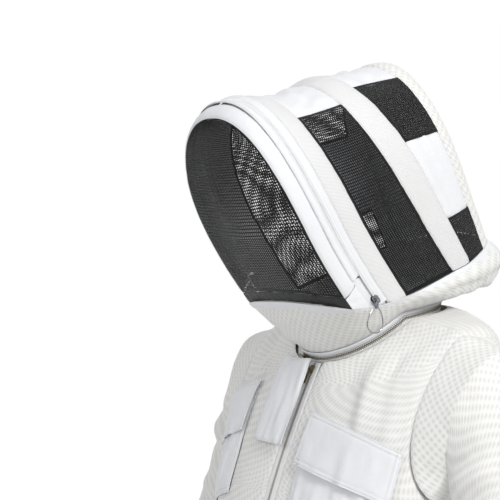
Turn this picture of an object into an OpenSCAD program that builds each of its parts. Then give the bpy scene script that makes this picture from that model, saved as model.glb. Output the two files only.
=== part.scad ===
// Ventilated beekeeping suit: one-piece coverall with a zip-on fencing hood.
// Units are millimetres, +Z is up, the wearer faces -Y and the wearer's left is +X.
// The origin is the middle of the wearer's neck base, level with the shoulder tops.
// F below means distance forward of the neck, so a point with forward reach F sits at y = -F.

/* [Fabric] */
// Thickness of the three-layer ventilated mesh cloth
mesh_cloth_t = 3.0; // [2:0.1:3.4]
// Thickness of the plain cotton pockets and flaps
plain_cloth_t = 1.6; // [1.2:0.1:2]
// Thickness of the black see-through mesh
veil_t = 1.4; // [1:0.1:2]
// Width of the gap drawn between two sewn panels
seam_gap = 0.5; // [0.3:0.1:1]

/* [Hood] */
// Forward lean of the whole hood over the collar, in degrees
hood_pitch = 27; // [22:1:30]
// Diameter of the sprung wire hoops inside the hood bands
hoop_wire_d = 3.0; // [2.5:0.1:3.6]

/* [Zips] */
// Half width of one zip tape measured from the middle of the teeth
tape_w = 12; // [10:0.5:12]
// Height of the closed teeth
teeth_h = 3.0; // [2.4:0.1:3.2]
// Length of a flat zip pull
pull_l = 24; // [18:1:28]

/* [Pockets] */
// Depth of the chest pocket bag when empty
pocket_puff = 3.0; // [2:0.5:3.5]

/* [Hidden] */

WHITE = [0.93, 0.93, 0.91];
COOL = [0.88, 0.90, 0.95];
BLACK = [0.06, 0.06, 0.07];
BRASS = [0.48, 0.40, 0.26];
CHROME = [0.80, 0.81, 0.83];
fn_pin = 24;

// Centre line of the chest: a circle in the middle plane, which the front zip follows.
zip_r = 1500;
zip_f = -1321.5;
zip_z = -600;

// Body rings from collar to hips:
// half width, centre F, back reach, side Z, front Z, back Z, squareness.
BODY = [[102, 14.4, 120, -17, -87, 18, 2.0],
        [172, 8, 132, -19, -106, 4, 2.3],
        [224, 6, 138, -35, -126, -32, 2.7],
        [242, 0, 141, -100, -175, -105, 2.8],
        [246, 0, 143, -200, -245, -195, 2.6],
        [241, 2, 144, -300, -310, -300, 2.6],
        [226, 4, 141, -430, -430, -430, 2.5],
        [232, 6, 147, -560, -560, -560, 2.5],
        [240, 8, 158, -700, -700, -700, 2.6]];
body_rows = 8;

// Hood arches from the face window back: half width, F at the foot, F at the top,
// height of the foot, rise, and how early the leg sweeps forward.
HOOD = [[132, 122, 176, 44, 304, 2.2],
        [137, 80, 140, 34, 330, 2.2],
        [137, 30, 92, 30, 322, 2.0],
        [132, -62, 16, 32, 314, 1.4],
        [130, -100, -22, 34, 314, 1.0],
        [116, -140, -112, 38, 298, 1.0],
        [98, -165, -142, 42, 290, 1.0]];

// Lower edge of the hood from the chin round to the nape: X, F and height in the hood frame.
BASE = [[0, 150, 62], [75, 144, 57], [126, 124, 45], [137, 80, 34], [138, 30, 30], [136, -20, 31],
        [132, -62, 32], [128, -104, 34], [104, -158, 42], [52, -184, 46], [0, -190, 47]];
BASE_AT = [0, 0.13, 0.26, 0.36, 0.46, 0.55, 0.64, 0.72, 0.85, 0.93, 1];

// Sleeve rings from shoulder to wrist: X, F, Z, fore-aft radius, radius across, hang angle.
SLEEVE = [[275, -18, -158, 74, 108, 80],
          [292, -24, -205, 72, 90, 60],
          [314, -26, -300, 70, 74, 36],
          [336, -18, -400, 69, 71, 18],
          [356, 0, -500, 65, 66, 15],
          [373, 22, -596, 60, 60, 15],
          [382, 34, -646, 50, 50, 15],
          [389, 43, -688, 43, 43, 15]];
armhole_half = 30;
armhole_mid = 3.35;
armhole_rise = 1.35;

// Leg rings from hip to ankle: Z, centre X, half width, centre F, half depth.
LEG = [[-700.6, 120.5, 119, 12, 161],
       [-760, 122, 117, 8, 142],
       [-850, 127, 114, 2, 120],
       [-1000, 136, 104, 0, 106],
       [-1200, 148, 93, -2, 95],
       [-1370, 158, 85, 0, 87],
       [-1405, 160, 70, 2, 72],
       [-1440, 161, 61, 4, 63]];
leg_square = 2.4;
crotch_square = 9;

// Collar zip ring: the front half is a true circle in a plane tipped down to the throat.
ring_r = 101.7;
ring_tilt = 43.6;
ring_c = [0, -14.4, -16.9];
nape_back = 120;
nape_rise = 35;

// Arc that the side of the arch zip follows in the hood frame, in the plane x = arch_x.
arch_x = 137;
arch_f = -683.97;
arch_w = 340.74;
arch_r = 823.22;

// ---------- maths helpers ----------
function lerp(a, b, t) = a + (b - a) * t;
function unit(v) = v / norm(v);
function signed_pow(c, n) = sign(c) * pow(abs(c), 2 / n);
function fwd(p) = [p[0], -p[1], p[2]];
function pick(tab, k, col) =
  k < 0 ? 2 * tab[0][col] - tab[1][col]
  : k >= len(tab) ? 2 * tab[len(tab) - 1][col] - tab[len(tab) - 2][col]
  : tab[k][col];
// Smooth reading of one column of a ring table at a fractional row.
function smooth_at(tab, v, col) =
  let (i = max(0, min(floor(v), len(tab) - 2)), t = v - i,
       a = pick(tab, i - 1, col), b = tab[i][col], c = tab[i + 1][col], d = pick(tab, i + 2, col))
  b + 0.5 * t * ((c - a) + t * ((2 * a - 5 * b + 4 * c - d) + t * (3 * (b - c) + d - a)));

// ---------- surfaces ----------
function chest_f(z) = zip_f + sqrt(zip_r * zip_r - (z - zip_z) * (z - zip_z));

// Point on the coverall: ph is the angle round the body, 90 at the front; d is depth inside.
function body(ph, v, d) =
  let (a = smooth_at(BODY, v, 0), c = smooth_at(BODY, v, 1), back = smooth_at(BODY, v, 2),
       zs = smooth_at(BODY, v, 3), zf = smooth_at(BODY, v, 4), zb = smooth_at(BODY, v, 5),
       n = smooth_at(BODY, v, 6), x = (a - d) * signed_pow(cos(ph), n),
       s = signed_pow(sin(ph), n), reach = s >= 0 ? chest_f(zf) - c : back)
  fwd([x, c + (reach - d) * s,
       zs + ((s >= 0 ? zf : zb) - zs) * abs(s) - d * max(0, 1 - v / 2.6)]);
// Angle round the body at which the coverall reaches a given x.
function angle_at(x, v) = acos(pow(x / smooth_at(BODY, v, 0), smooth_at(BODY, v, 6) / 2));
// Angle of the armhole edge at row v, and zero below and above it.
function armhole(v) =
  let (k = (v - armhole_mid) / armhole_rise) abs(k) < 1 ? armhole_half * sqrt(1 - k * k) : 0;

// Hood frame (x, forward, up) to world.
function pitched(x, f, w) =
  [x, -(f * cos(hood_pitch) + w * sin(hood_pitch)), w * cos(hood_pitch) - f * sin(hood_pitch)];
// Point on the hood: u runs over the head from the left foot to the right foot.
function hood(u, v, d) =
  let (a = smooth_at(HOOD, v, 0) - d, f0 = smooth_at(HOOD, v, 1), f1 = smooth_at(HOOD, v, 2),
       w0 = smooth_at(HOOD, v, 3), rise = smooth_at(HOOD, v, 4), sweep = smooth_at(HOOD, v, 5),
       leg = 0.4 * rise, ph = (u - 0.2) / 0.6 * 180,
       x = u < 0.2 ? a : u > 0.8 ? -a : a * signed_pow(cos(ph), 2.2),
       h = u < 0.2 ? leg * u / 0.2 : u > 0.8 ? leg * (1 - u) / 0.2
           : leg + (rise - leg - d) * signed_pow(sin(ph), 2.2))
  pitched(x, f0 + (f1 - f0) * (1 - pow(1 - h / rise, sweep)), w0 + h);
function base_row(t) =
  let (s = abs(t), i = max([for (k = [0:9]) s >= BASE_AT[k] ? k : 0]))
  i + (s - BASE_AT[i]) / (BASE_AT[i + 1] - BASE_AT[i]);
function base_edge(t) =
  let (v = base_row(t))
  pitched(sign(t) * smooth_at(BASE, v, 0), smooth_at(BASE, v, 1), smooth_at(BASE, v, 2));

// Frame of the collar zip at angle ph: [point, direction up the collar, outward].
function collar_frame(ph) =
  let (c = cos(ph), s = sin(ph), k = s >= 0 ? 0 : -s,
       p = s >= 0
           ? ring_c + [ring_r * c, -ring_r * s * cos(ring_tilt), -ring_r * s * sin(ring_tilt)]
           : ring_c + [ring_r * c, nape_back * -s, nape_rise * -s],
       up = unit(lerp([0, -sin(ring_tilt), cos(ring_tilt)], [0, 0.36, 0.93], k)),
       out = s >= 0 ? unit(p - ring_c) : unit([ring_r * c, p[1] - ring_c[1], 0]))
  [p, up, unit(out - up * (out * up))];
// Collar surface: t = -1..1 round from the nape over the throat, s = 0..1 upwards.
function collar(t, s, d) =
  let (fr = collar_frame(90 - 180 * t), foot = fr[0] + fr[1] * 9, top = base_edge(t),
       back = max(0, abs(t) - 0.45) / 0.55, q = lerp(foot, top, s),
       puff = 4 * s * (1 - s) * (6 + 64 * back), flat = unit([q[0], q[1] + 10, 0]))
  q + flat * (puff - d);

function sleeve(a, s, d) =
  let (hole = body(armhole_half * cos(a), armhole_mid - armhole_rise * sin(a), 0),
       edge = hole + [4 - 2 * sin(a), 0, 0], k = max(0, s - 1),
       x = smooth_at(SLEEVE, k, 0), f = smooth_at(SLEEVE, k, 1), z = smooth_at(SLEEVE, k, 2),
       r1 = smooth_at(SLEEVE, k, 3) - d, r2 = smooth_at(SLEEVE, k, 4) - d,
       hang = smooth_at(SLEEVE, k, 5),
       ring = fwd([x + r2 * sin(a) * cos(hang), f + r1 * cos(a), z + r2 * sin(a) * sin(hang)]),
       rim = edge - [0, edge[1] * d / 75, (edge[2] + 150) * d / 120])
  s < 1 ? lerp(rim, ring, s) : ring;

// Point on a trouser leg; near the crotch the inner side is squared to meet the other leg.
function leg(ph, v, d) =
  let (cx = smooth_at(LEG, v, 1), a = smooth_at(LEG, v, 2) - d, c = smooth_at(LEG, v, 3),
       b = smooth_at(LEG, v, 4) - d,
       n = cos(ph) < 0 ? lerp(crotch_square, leg_square, min(1, v / 3)) : leg_square)
  fwd([cx + a * signed_pow(cos(ph), n), c + b * signed_pow(sin(ph), n), smooth_at(LEG, v, 0)]);

// ---------- builders ----------
// Closed sheet over a grid: f(i, j, d) with i and j from 0 to 1 and d the depth below the top.
module sheet(f, ni, nj, t, lift = 0) {
  row = ni + 1;
  layer = row * (nj + 1);
  pts = [for (k = [0, 1]) for (j = [0:nj]) for (i = [0:ni]) f(i / ni, j / nj, k * t - lift)];
  at = function (i, j, k) k * layer + j * row + i;
  e = 0.02;
  mid = f(0.5, 0.5, -lift);
  up = mid - f(0.5, 0.5, t - lift);
  flip = cross(f(0.5 + e, 0.5, -lift) - mid, f(0.5, 0.5 + e, -lift) - mid) * up < 0;
  quads = concat(
    [for (j = [0:nj - 1]) for (i = [0:ni - 1])
      [at(i, j, 0), at(i, j + 1, 0), at(i + 1, j + 1, 0), at(i + 1, j, 0)]],
    [for (j = [0:nj - 1]) for (i = [0:ni - 1])
      [at(i, j, 1), at(i + 1, j, 1), at(i + 1, j + 1, 1), at(i, j + 1, 1)]],
    [for (i = [0:ni - 1]) [at(i, 0, 0), at(i + 1, 0, 0), at(i + 1, 0, 1), at(i, 0, 1)]],
    [for (i = [0:ni - 1]) [at(i, nj, 0), at(i, nj, 1), at(i + 1, nj, 1), at(i + 1, nj, 0)]],
    [for (j = [0:nj - 1]) [at(0, j, 0), at(0, j, 1), at(0, j + 1, 1), at(0, j + 1, 0)]],
    [for (j = [0:nj - 1]) [at(ni, j, 0), at(ni, j + 1, 0), at(ni, j + 1, 1), at(ni, j, 1)]]);
  tris = [for (q = quads) each [[q[0], q[1], q[2]], [q[0], q[2], q[3]]]];
  polyhedron(pts, flip ? [for (q = tris) [q[2], q[1], q[0]]] : tris, convexity = 6);
}

// Closed tube wall: f(a, j, d) with a the angle round and j from 0 to 1 along.
module tube(f, na, nj, t) {
  layer = na * (nj + 1);
  pts = [for (k = [0, 1]) for (j = [0:nj]) for (i = [0:na - 1]) f(i * 360 / na, j / nj, k * t)];
  at = function (i, j, k) k * layer + j * na + (i % na);
  quads = concat(
    [for (j = [0:nj - 1]) for (i = [0:na - 1])
      [at(i, j, 0), at(i, j + 1, 0), at(i + 1, j + 1, 0), at(i + 1, j, 0)]],
    [for (j = [0:nj - 1]) for (i = [0:na - 1])
      [at(i, j, 1), at(i + 1, j, 1), at(i + 1, j + 1, 1), at(i, j + 1, 1)]],
    [for (i = [0:na - 1]) [at(i, 0, 0), at(i + 1, 0, 0), at(i + 1, 0, 1), at(i, 0, 1)]],
    [for (i = [0:na - 1]) [at(i, nj, 0), at(i, nj, 1), at(i + 1, nj, 1), at(i + 1, nj, 0)]]);
  tris = [for (q = quads) each [[q[0], q[1], q[2]], [q[0], q[2], q[3]]]];
  mid = f(0, 0.5, 0);
  up = mid - f(0, 0.5, t);
  flip = cross(f(2, 0.5, 0) - mid, f(0, 0.52, 0) - mid) * up < 0;
  polyhedron(pts, flip ? [for (q = tris) [q[2], q[1], q[0]]] : tris, convexity = 6);
}

// Solid bar of a fixed convex outline swept along frames [point, side, out].
module rail(frame, n, outline, closed = false) {
  m = len(outline);
  steps = closed ? n - 1 : n;
  pts = [for (j = [0:steps]) let (fr = frame(j / n))
         for (p = outline) fr[0] + fr[1] * p[0] + fr[2] * p[1]];
  at = function (i, j) (j % (steps + 1)) * m + (i % m);
  walls = [for (j = [0:(closed ? steps : n - 1)]) for (i = [0:m - 1])
           each [[at(i, j), at(i + 1, j), at(i + 1, j + 1)], [at(i, j), at(i + 1, j + 1), at(i, j + 1)]]];
  ends = closed ? [] : [[for (i = [m - 1:-1:0]) at(i, 0)], [for (i = [0:m - 1]) at(i, n)]];
  f0 = frame(0);
  way = frame(1 / n)[0] - f0[0];
  turn = cross(outline[1] - outline[0], outline[2] - outline[1]);
  flip = cross(f0[1], f0[2]) * way * turn > 0;
  all = concat(walls, ends);
  polyhedron(pts, flip ? [for (q = all) [for (k = [len(q) - 1:-1:0]) q[k]]] : all, convexity = 6);
}

module mirror_x() {
  mirror([1, 0, 0]) children();
}

// Half of a zip: teeth at the middle, tapering to the edge of the tape.
slit = 0.7;
teeth_w = 2.8;
tape_edge = 0.45;
function zip_half(side, w) =
  [for (p = [[slit, -teeth_h / 2], [teeth_w, -teeth_h / 2], [w, -tape_edge],
             [w, tape_edge], [teeth_w, teeth_h / 2], [slit, teeth_h / 2]]) [side * p[0], p[1]]];

// Zip slider seen in its own frame: x across the zip, y along it, z outwards.
plate_w = 10;
plate_l = 13;
plate_t = 1.5;
plate_z = 2.1;
pin_z = 5.6;
pin_d = 1.6;
lug_gap = 5.2;
lug_w = 1.1;
pull_w = 4.6;
pull_t = 1.3;
bore_d = 1.76;
barrel_d = 3.4;

// Puts a child drawn in a slider frame at p, with z outwards and y towards the hanging pull.
module place(p, y, z) {
  x = cross(y, z);
  multmatrix([[x[0], y[0], z[0], p[0]], [x[1], y[1], z[1], p[1]], [x[2], y[2], z[2], p[2]]])
    children();
}

module slider_body(turn = 0) {
  for (side = [-1, 1])
    translate([0, 0, side > 0 ? plate_z : -plate_z - plate_t])
      linear_extrude(plate_t)
        polygon([[-plate_w / 2, -plate_l / 2 + 3], [-2.5, -plate_l / 2], [2.5, -plate_l / 2],
                 [plate_w / 2, -plate_l / 2 + 3], [plate_w / 2 - 1, plate_l / 2],
                 [-plate_w / 2 + 1, plate_l / 2]]);
  // Diamond post that joins the plates through the slit between the teeth.
  translate([-0.4, -plate_l / 2 + 2, -plate_z - plate_t / 2])
    cube([0.8, 5, 2 * plate_z + plate_t]);
  rotate([0, 0, turn]) {
    for (side = [-1, 1])
      translate([side * (lug_gap + lug_w) / 2 - lug_w / 2, -2, plate_z + plate_t / 2])
        cube([lug_w, 4, pin_z - plate_z]);
    translate([0, 0, pin_z])
      rotate([0, 90, 0])
        cylinder(d = pin_d, h = lug_gap + lug_w, center = true, $fn = fn_pin);
  }
}

// Flat pull hanging from the slider pin along +y.
module pull_body(len_mm) {
  difference() {
    union() {
      translate([0, 0, pin_z])
        rotate([0, 90, 0])
          cylinder(d = barrel_d, h = pull_w, center = true, $fn = fn_pin);
      translate([-pull_w / 2, 1, pin_z - pull_t / 2])
        cube([pull_w, len_mm - pull_w / 2 - 1, pull_t]);
      translate([0, len_mm - pull_w / 2, pin_z - pull_t / 2])
        cylinder(d = pull_w, h = pull_t, $fn = fn_pin);
    }
    translate([0, 0, pin_z])
      rotate([0, 90, 0])
        cylinder(d = bore_d, h = pull_w + 2, center = true, $fn = fn_pin);
    translate([0, len_mm - pull_w / 2, pin_z - pull_t])
      cylinder(d = 2.0, h = 2 * pull_t, $fn = fn_pin);
  }
}

// Short link that carries the ring: two barrels joined by a web, long enough to clear the plate.
link_l = 10.8;
ring_bore = 3.4;
ring_barrel = 5.4;
link_w = 3.2;
module link_body() {
  difference() {
    union() {
      translate([0, 0, pin_z])
        rotate([0, 90, 0])
          cylinder(d = barrel_d, h = pull_w, center = true, $fn = fn_pin);
      translate([0, link_l, pin_z])
        rotate([0, 90, 0])
          cylinder(d = ring_barrel, h = link_w, center = true, $fn = fn_pin);
      translate([-link_w / 2, 0, pin_z - 0.8])
        cube([link_w, link_l, 1.6]);
    }
    translate([0, 0, pin_z])
      rotate([0, 90, 0])
        cylinder(d = bore_d, h = pull_w + 2, center = true, $fn = fn_pin);
    translate([0, link_l, pin_z])
      rotate([0, 90, 0])
        cylinder(d = ring_bore, h = link_w + 2, center = true, $fn = fn_pin);
  }
}

// Pear-shaped wire ring that hangs in the lower barrel of the link.
ring_wire_d = 1.8;
ring_half_w = 13;
ring_len = 36;
function ring_point(a) =
  [ring_half_w * sin(a) * (1 - 0.3 * cos(a)), ring_len / 2 * (1 - cos(a)), 0];
module ring_body() {
  r = ring_wire_d / 2;
  translate([0, link_l, pin_z])
    rail(function (t)
           let (a = 360 * t, way = unit(ring_point(a + 2) - ring_point(a - 2)))
           [ring_point(a), cross(way, [0, 0, 1]), [0, 0, 1]],
         36, [for (k = [0:7]) [r * cos(45 * k), r * sin(45 * k)]], closed = true);
}

// ---------- coverall ----------
panel_edge = tape_w + 0.8;
side_seam = 0.04;
// Row at which the cloth starts below the collar zip, at angle ph round the body.
function neck_row(ph) = lerp(0.26, 0.36, pow(sin(ph), 2));

// Front panel from the side seam to the zip.
module front_half() {
  sheet(function (i, j, d)
          let (w = body_rows * j, a = armhole(w) + side_seam, b = angle_at(panel_edge, w),
               ph = lerp(a, b, i), v = w + neck_row(ph) * max(0, 1 - w / 2))
          body(ph, v, d),
        9, 17, mesh_cloth_t);
}

// Back panels between two rows; the top one starts at the collar zip.
module back_part(top, bottom, rows, t) {
  sheet(function (i, j, d)
          let (w = lerp(top, bottom, j), a = armhole(w) + side_seam,
               ph = -lerp(a, 180 - a, i), v = w + neck_row(ph) * max(0, 1 - w / 2))
          body(ph, v, d),
        14, rows, t);
}

waist_top = 5.75;
waist_bottom = 6.1;

module front_panel_left() {
  color(WHITE) front_half();
}
module front_panel_right() {
  mirror_x() front_panel_left();
}
module back_panel() {
  color(WHITE) back_part(0, waist_top - 0.005, 12, mesh_cloth_t);
}
module waist_elastic() {
  color(COOL) back_part(waist_top, waist_bottom, 1, mesh_cloth_t);
}
module seat_panel() {
  color(WHITE) back_part(waist_bottom + 0.005, body_rows, 4, mesh_cloth_t);
}

sleeve_end = 7.4;
sleeve_seam = 0.3;
// Half of the sleeve tube, front or back, between the shoulder seam and the underarm seam.
module sleeve_half(start) {
  color(WHITE)
    sheet(function (i, j, d)
            sleeve(start + lerp(sleeve_seam, 180 - sleeve_seam, i), sleeve_end * j, d),
          8, 10, mesh_cloth_t);
}
module sleeve_front_left() {
  sleeve_half(-90);
}
module sleeve_front_right() {
  mirror_x() sleeve_front_left();
}
module sleeve_back_left() {
  sleeve_half(90);
}
module sleeve_back_right() {
  mirror_x() sleeve_back_left();
}
module cuff_left() {
  color(WHITE)
    tube(function (a, j, d) sleeve(a, lerp(sleeve_end + 0.012, 8, j), d), 16, 1, mesh_cloth_t);
}
module cuff_right() {
  mirror_x() cuff_left();
}

leg_end = 6.2;
module leg_half(side) {
  color(WHITE)
    sheet(function (i, j, d) leg(side * lerp(side_seam, 180 - side_seam, i), leg_end * j, d),
          10, 8, mesh_cloth_t);
}
module leg_front_left() {
  leg_half(1);
}
module leg_front_right() {
  mirror_x() leg_front_left();
}
module leg_back_left() {
  leg_half(-1);
}
module leg_back_right() {
  mirror_x() leg_back_left();
}
module ankle_band_left() {
  color(WHITE)
    tube(function (a, j, d) leg(a + 5, lerp(leg_end + 0.015, 7, j), d), 16, 1, mesh_cloth_t);
}
module ankle_band_right() {
  mirror_x() ankle_band_left();
}

// ---------- front zip ----------
front_zip_top = 19.75;
front_zip_bottom = -3.6;
function front_frame(deg) =
  [[0, -(zip_f + (zip_r - 1.6) * cos(deg)), zip_z + (zip_r - 1.6) * sin(deg)],
   [1, 0, 0], [0, -cos(deg), sin(deg)]];
module front_zip_half(side) {
  color(COOL)
    rail(function (t) front_frame(lerp(front_zip_top, front_zip_bottom, t)), 20,
         zip_half(side, tape_w));
}
module front_zip_left() {
  front_zip_half(1);
}
module front_zip_right() {
  front_zip_half(-1);
}

// Places a slider part at an angle along the chest arc.
front_rest = 19.3;
module on_chest(deg) {
  place(front_frame(deg)[0], [0, -sin(deg), -cos(deg)], [0, -cos(deg), sin(deg)])
    children();
}
module front_zip_slider() {
  color(BRASS) on_chest(front_rest) slider_body();
}
module front_zip_pull() {
  color(BRASS) on_chest(front_rest) pull_body(pull_l);
}

// ---------- collar zip ----------
collar_tape = 8;
module collar_zip_lower() {
  color(BRASS)
    rail(function (t) collar_frame(360 * t + 90), 42, zip_half(-1, collar_tape), closed = true);
}
module collar_zip_upper() {
  color(BRASS)
    rail(function (t) collar_frame(360 * t + 90), 42, zip_half(1, collar_tape), closed = true);
}
collar_rest = 107;
module on_collar(ph) {
  fr = collar_frame(ph);
  place(fr[0], cross(fr[2], fr[1]), fr[2])
    children();
}
module collar_zip_slider() {
  color(BRASS) on_collar(collar_rest) slider_body();
}
module collar_zip_pull() {
  color(BRASS) on_collar(collar_rest) pull_body(pull_l - 6);
}

// ---------- pockets and flaps ----------
// Corners are [angle round the body, row]: top inner, top outer, bottom inner, bottom outer.
POCKET_L = [[84.0, 2.80], [34.3, 3.71], [82.6, 5.33], [33.1, 5.65]];
FLAP_L = [[84.0, 2.78], [34.3, 3.69], [83.2, 3.92], [35.5, 4.67]];
POCKET_R = [[68.0, 2.18], [33.8, 3.08], [66.9, 4.89], [33.8, 5.25]];
FLAP_R = [[68.0, 2.16], [33.8, 3.06], [68.7, 3.49], [34.6, 4.11]];
function in_corners(c, i, j) = lerp(lerp(c[0], c[1], i), lerp(c[2], c[3], i), j);
function grow(c, da, dv) =
  [c[0] + [da, -dv], c[1] + [-da, -dv], c[2] + [da, dv], c[3] + [-da, dv]];

bag_clear = 0.6;
bag_t = plain_cloth_t + pocket_puff;
flap_clear = bag_clear + bag_t + 0.9;
module on_body(c, ni, nj, t, lift) {
  sheet(function (i, j, d) let (q = in_corners(c, i, j)) body(q[0], q[1], d), ni, nj, t, lift);
}
module chest_pocket_left() {
  color(COOL) on_body(POCKET_L, 10, 8, bag_t, bag_clear + bag_t);
}
module chest_pocket_right() {
  color(COOL) mirror_x() on_body(POCKET_R, 10, 8, bag_t, bag_clear + bag_t);
}
module chest_flap_left() {
  color(COOL) on_body(grow(FLAP_L, 0.8, 0), 10, 4, plain_cloth_t, flap_clear + plain_cloth_t);
}
module chest_flap_right() {
  color(COOL)
    mirror_x() on_body(grow(FLAP_R, 0.8, 0), 10, 4, plain_cloth_t, flap_clear + plain_cloth_t);
}

// Cover over the place where the three zips meet, sewn on the wearer's right.
throat_x0 = 80;
throat_x1 = -8;
throat_lift0 = 3.0;
throat_lift1 = 11.5;
module throat_flap() {
  color(COOL)
    mirror_x()
      sheet(function (i, j, d)
              let (x = lerp(throat_x0, throat_x1, i), v = lerp(0.62, 3.6, j),
                   a = abs(x) < 1 ? angle_at(1, v) : angle_at(abs(x), v))
              body(x < 0 ? 180 - a : a, v, d - lerp(throat_lift0, throat_lift1, i)),
            9, 6, plain_cloth_t, plain_cloth_t);
}

// ---------- hood ----------
gap_v = seam_gap / 45;
foot = 0.0035;
module hood_patch(u0, u1, v0, v1, ni, nj, t, inset = 0) {
  sheet(function (i, j, d) hood(lerp(u0, u1, i), lerp(v0, v1, j), d + inset), ni, nj, t);
}

module hood_collar() {
  color(WHITE)
    tube(function (a, j, d) collar((a < 180 ? a : a - 360) / 180, lerp(0, 0.985, j), d),
         32, 4, mesh_cloth_t);
}

// Sheet that fills an arch, with a bow forward (or backward) of the arch plane.
function across(u, s, v, d, bow, lift, inset = 2) =
  let (l = hood(u, v, inset), r = hood(1 - u, v, inset), k = 4 * s * (1 - s), h = u / 0.5,
       q = lerp(l, r, s))
  q + pitched(0, bow * k * (1 - h * h) - d * sign(bow), lift * k * pow(1 - h, 3));
veil_bow = 25;
veil_lift = 18;
veil_top = 0.488;
veil_foot = 0.034;
module face_veil() {
  color(BLACK)
    sheet(function (i, j, d)
            across(lerp(veil_foot, veil_top, j), i, 0.0, d, veil_bow, veil_lift),
          10, 14, veil_t);
}
module veil_hem() {
  color(BLACK)
    sheet(function (i, j, d)
            across(lerp(0.006, veil_foot - 0.004, j), i, 0.0, d, veil_bow, veil_lift),
          10, 1, 2.0);
}
back_inset = 4.2;
module hood_back_panel() {
  color(WHITE)
    sheet(function (i, j, d) across(lerp(0.01, 0.488, j), i, 6.0, d, -26, 5, inset = back_inset),
          10, 11, mesh_cloth_t);
}

// The front band opens with the veil above a cut that rises towards the zip.
function band_cut(v) = 0.032 + 0.046 * v;
band_start = 0.06;
band_edge = 0.66;
band_rear_start = 1.34;
module band_front() {
  color(WHITE)
    sheet(function (i, j, d)
            let (v = lerp(band_start, band_edge, j), c = band_cut(v)) hood(lerp(c, 1 - c, i), v, d),
          30, 2, mesh_cloth_t);
}
module band_corner_left() {
  color(WHITE)
    sheet(function (i, j, d)
            let (v = lerp(band_start, band_edge, j)) hood(lerp(foot, band_cut(v) - 0.003, i), v, d),
          3, 3, mesh_cloth_t);
}
module band_corner_right() {
  mirror_x() band_corner_left();
}
module band_front_rear() {
  color(WHITE) hood_patch(foot, 1 - foot, band_rear_start, 2 - gap_v, 32, 2, mesh_cloth_t);
}

// Frame along the arch zip: [point, side towards the back, outward].
function arch_frame(u) =
  let (p = hood(u, 1, 1.5), along = unit(hood(u + 0.002, 1, 1.5) - hood(u - 0.002, 1, 1.5)),
       out = unit(p - hood(u, 1, 6)), side = unit(cross(along, out)))
  [p, side * (side[1] > 0 ? 1 : -1), unit(cross(side, along) * sign(cross(side, along) * out))];
arch_cut = 0.081;
module arch_zip_front() {
  color(WHITE)
    rail(function (t) arch_frame(lerp(arch_cut, 1 - arch_cut, t)), 42, zip_half(-1, tape_w));
}
module arch_zip_rear() {
  color(WHITE)
    rail(function (t) arch_frame(lerp(foot + 0.002, 1 - foot - 0.002, t)), 50,
         zip_half(1, tape_w));
}
// Slider of the arch zip, resting at the left foot of the arch; its bail is turned so that
// the link and ring hang straight down.
arch_rest = -21.0;
arch_inset = 1.5;
function arch_point(deg) =
  pitched(arch_x - arch_inset, arch_f + arch_r * cos(deg), arch_w + arch_r * sin(deg));
module arch_zip_slider() {
  color(CHROME)
    place(arch_point(arch_rest), pitched(0, sin(arch_rest), -cos(arch_rest)), [1, 0, 0])
      slider_body(turn = arch_rest - hood_pitch);
}
module arch_zip_link() {
  color(CHROME) place(arch_point(arch_rest), [0, 0, -1], [1, 0, 0]) link_body();
}
module arch_zip_ring() {
  color(CHROME) place(arch_point(arch_rest), [0, 0, -1], [1, 0, 0]) ring_body();
}

window_top = 0.375;
module window_side_left() {
  color(BLACK) hood_patch(foot, window_top, 2 + gap_v, 3 - gap_v, 12, 3, veil_t);
}
module window_side_right() {
  mirror_x() window_side_left();
}
module top_panel_front() {
  color(WHITE)
    hood_patch(window_top + 0.003, 1 - window_top - 0.003, 2 + gap_v, 3 - gap_v, 8, 4, mesh_cloth_t);
}
module band_middle() {
  color(WHITE) hood_patch(foot, 1 - foot, 3 + gap_v, 4 - gap_v, 32, 1, mesh_cloth_t);
}
// Windows and plain panel between the middle and rear bands.
upper_u = [0.27, 0.40];
lower_u = [foot, 0.115];
module window_upper_left() {
  color(BLACK) hood_patch(upper_u[0], upper_u[1], 4 + gap_v, 5 - gap_v, 6, 4, veil_t);
}
module window_upper_right() {
  mirror_x() window_upper_left();
}
module side_panel_left() {
  color(COOL)
    hood_patch(lower_u[1] + 0.002, upper_u[0] - 0.002, 4 + gap_v, 5 - gap_v, 8, 4, mesh_cloth_t);
}
module side_panel_right() {
  mirror_x() side_panel_left();
}
module window_lower_left() {
  color(BLACK) hood_patch(lower_u[0], lower_u[1], 4 + gap_v, 5 - gap_v, 5, 4, veil_t);
}
module window_lower_right() {
  mirror_x() window_lower_left();
}
module top_panel_rear() {
  color(WHITE)
    hood_patch(upper_u[1] + 0.002, 1 - upper_u[1] - 0.002, 4 + gap_v, 5 - gap_v, 8, 4, mesh_cloth_t);
}
module band_rear() {
  color(WHITE) hood_patch(foot, 1 - foot, 5 + gap_v, 6 - gap_v, 32, 1, mesh_cloth_t);
}

// Sprung wire hoops that run in channels behind the bands.
function hoop_frame(u, v) =
  let (p = hood(u, v, 7.5), along = unit(hood(u + 0.004, v, 7.5) - hood(u - 0.004, v, 7.5)),
       out = unit(p - hood(u, v, 12)))
  [p, unit(cross(along, out)), out];
module hoop(u0, v) {
  r = hoop_wire_d / 2;
  color(CHROME)
    rail(function (t) hoop_frame(lerp(u0, 1 - u0, t), v), 30,
         [for (k = [0:5]) [r * cos(60 * k), r * sin(60 * k)]]);
}
module hoop_front() {
  hoop(0.07, 0.35);
}
module hoop_middle() {
  hoop(0.02, 3.5);
}
module hoop_rear() {
  hoop(0.02, 5.5);
}

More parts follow.
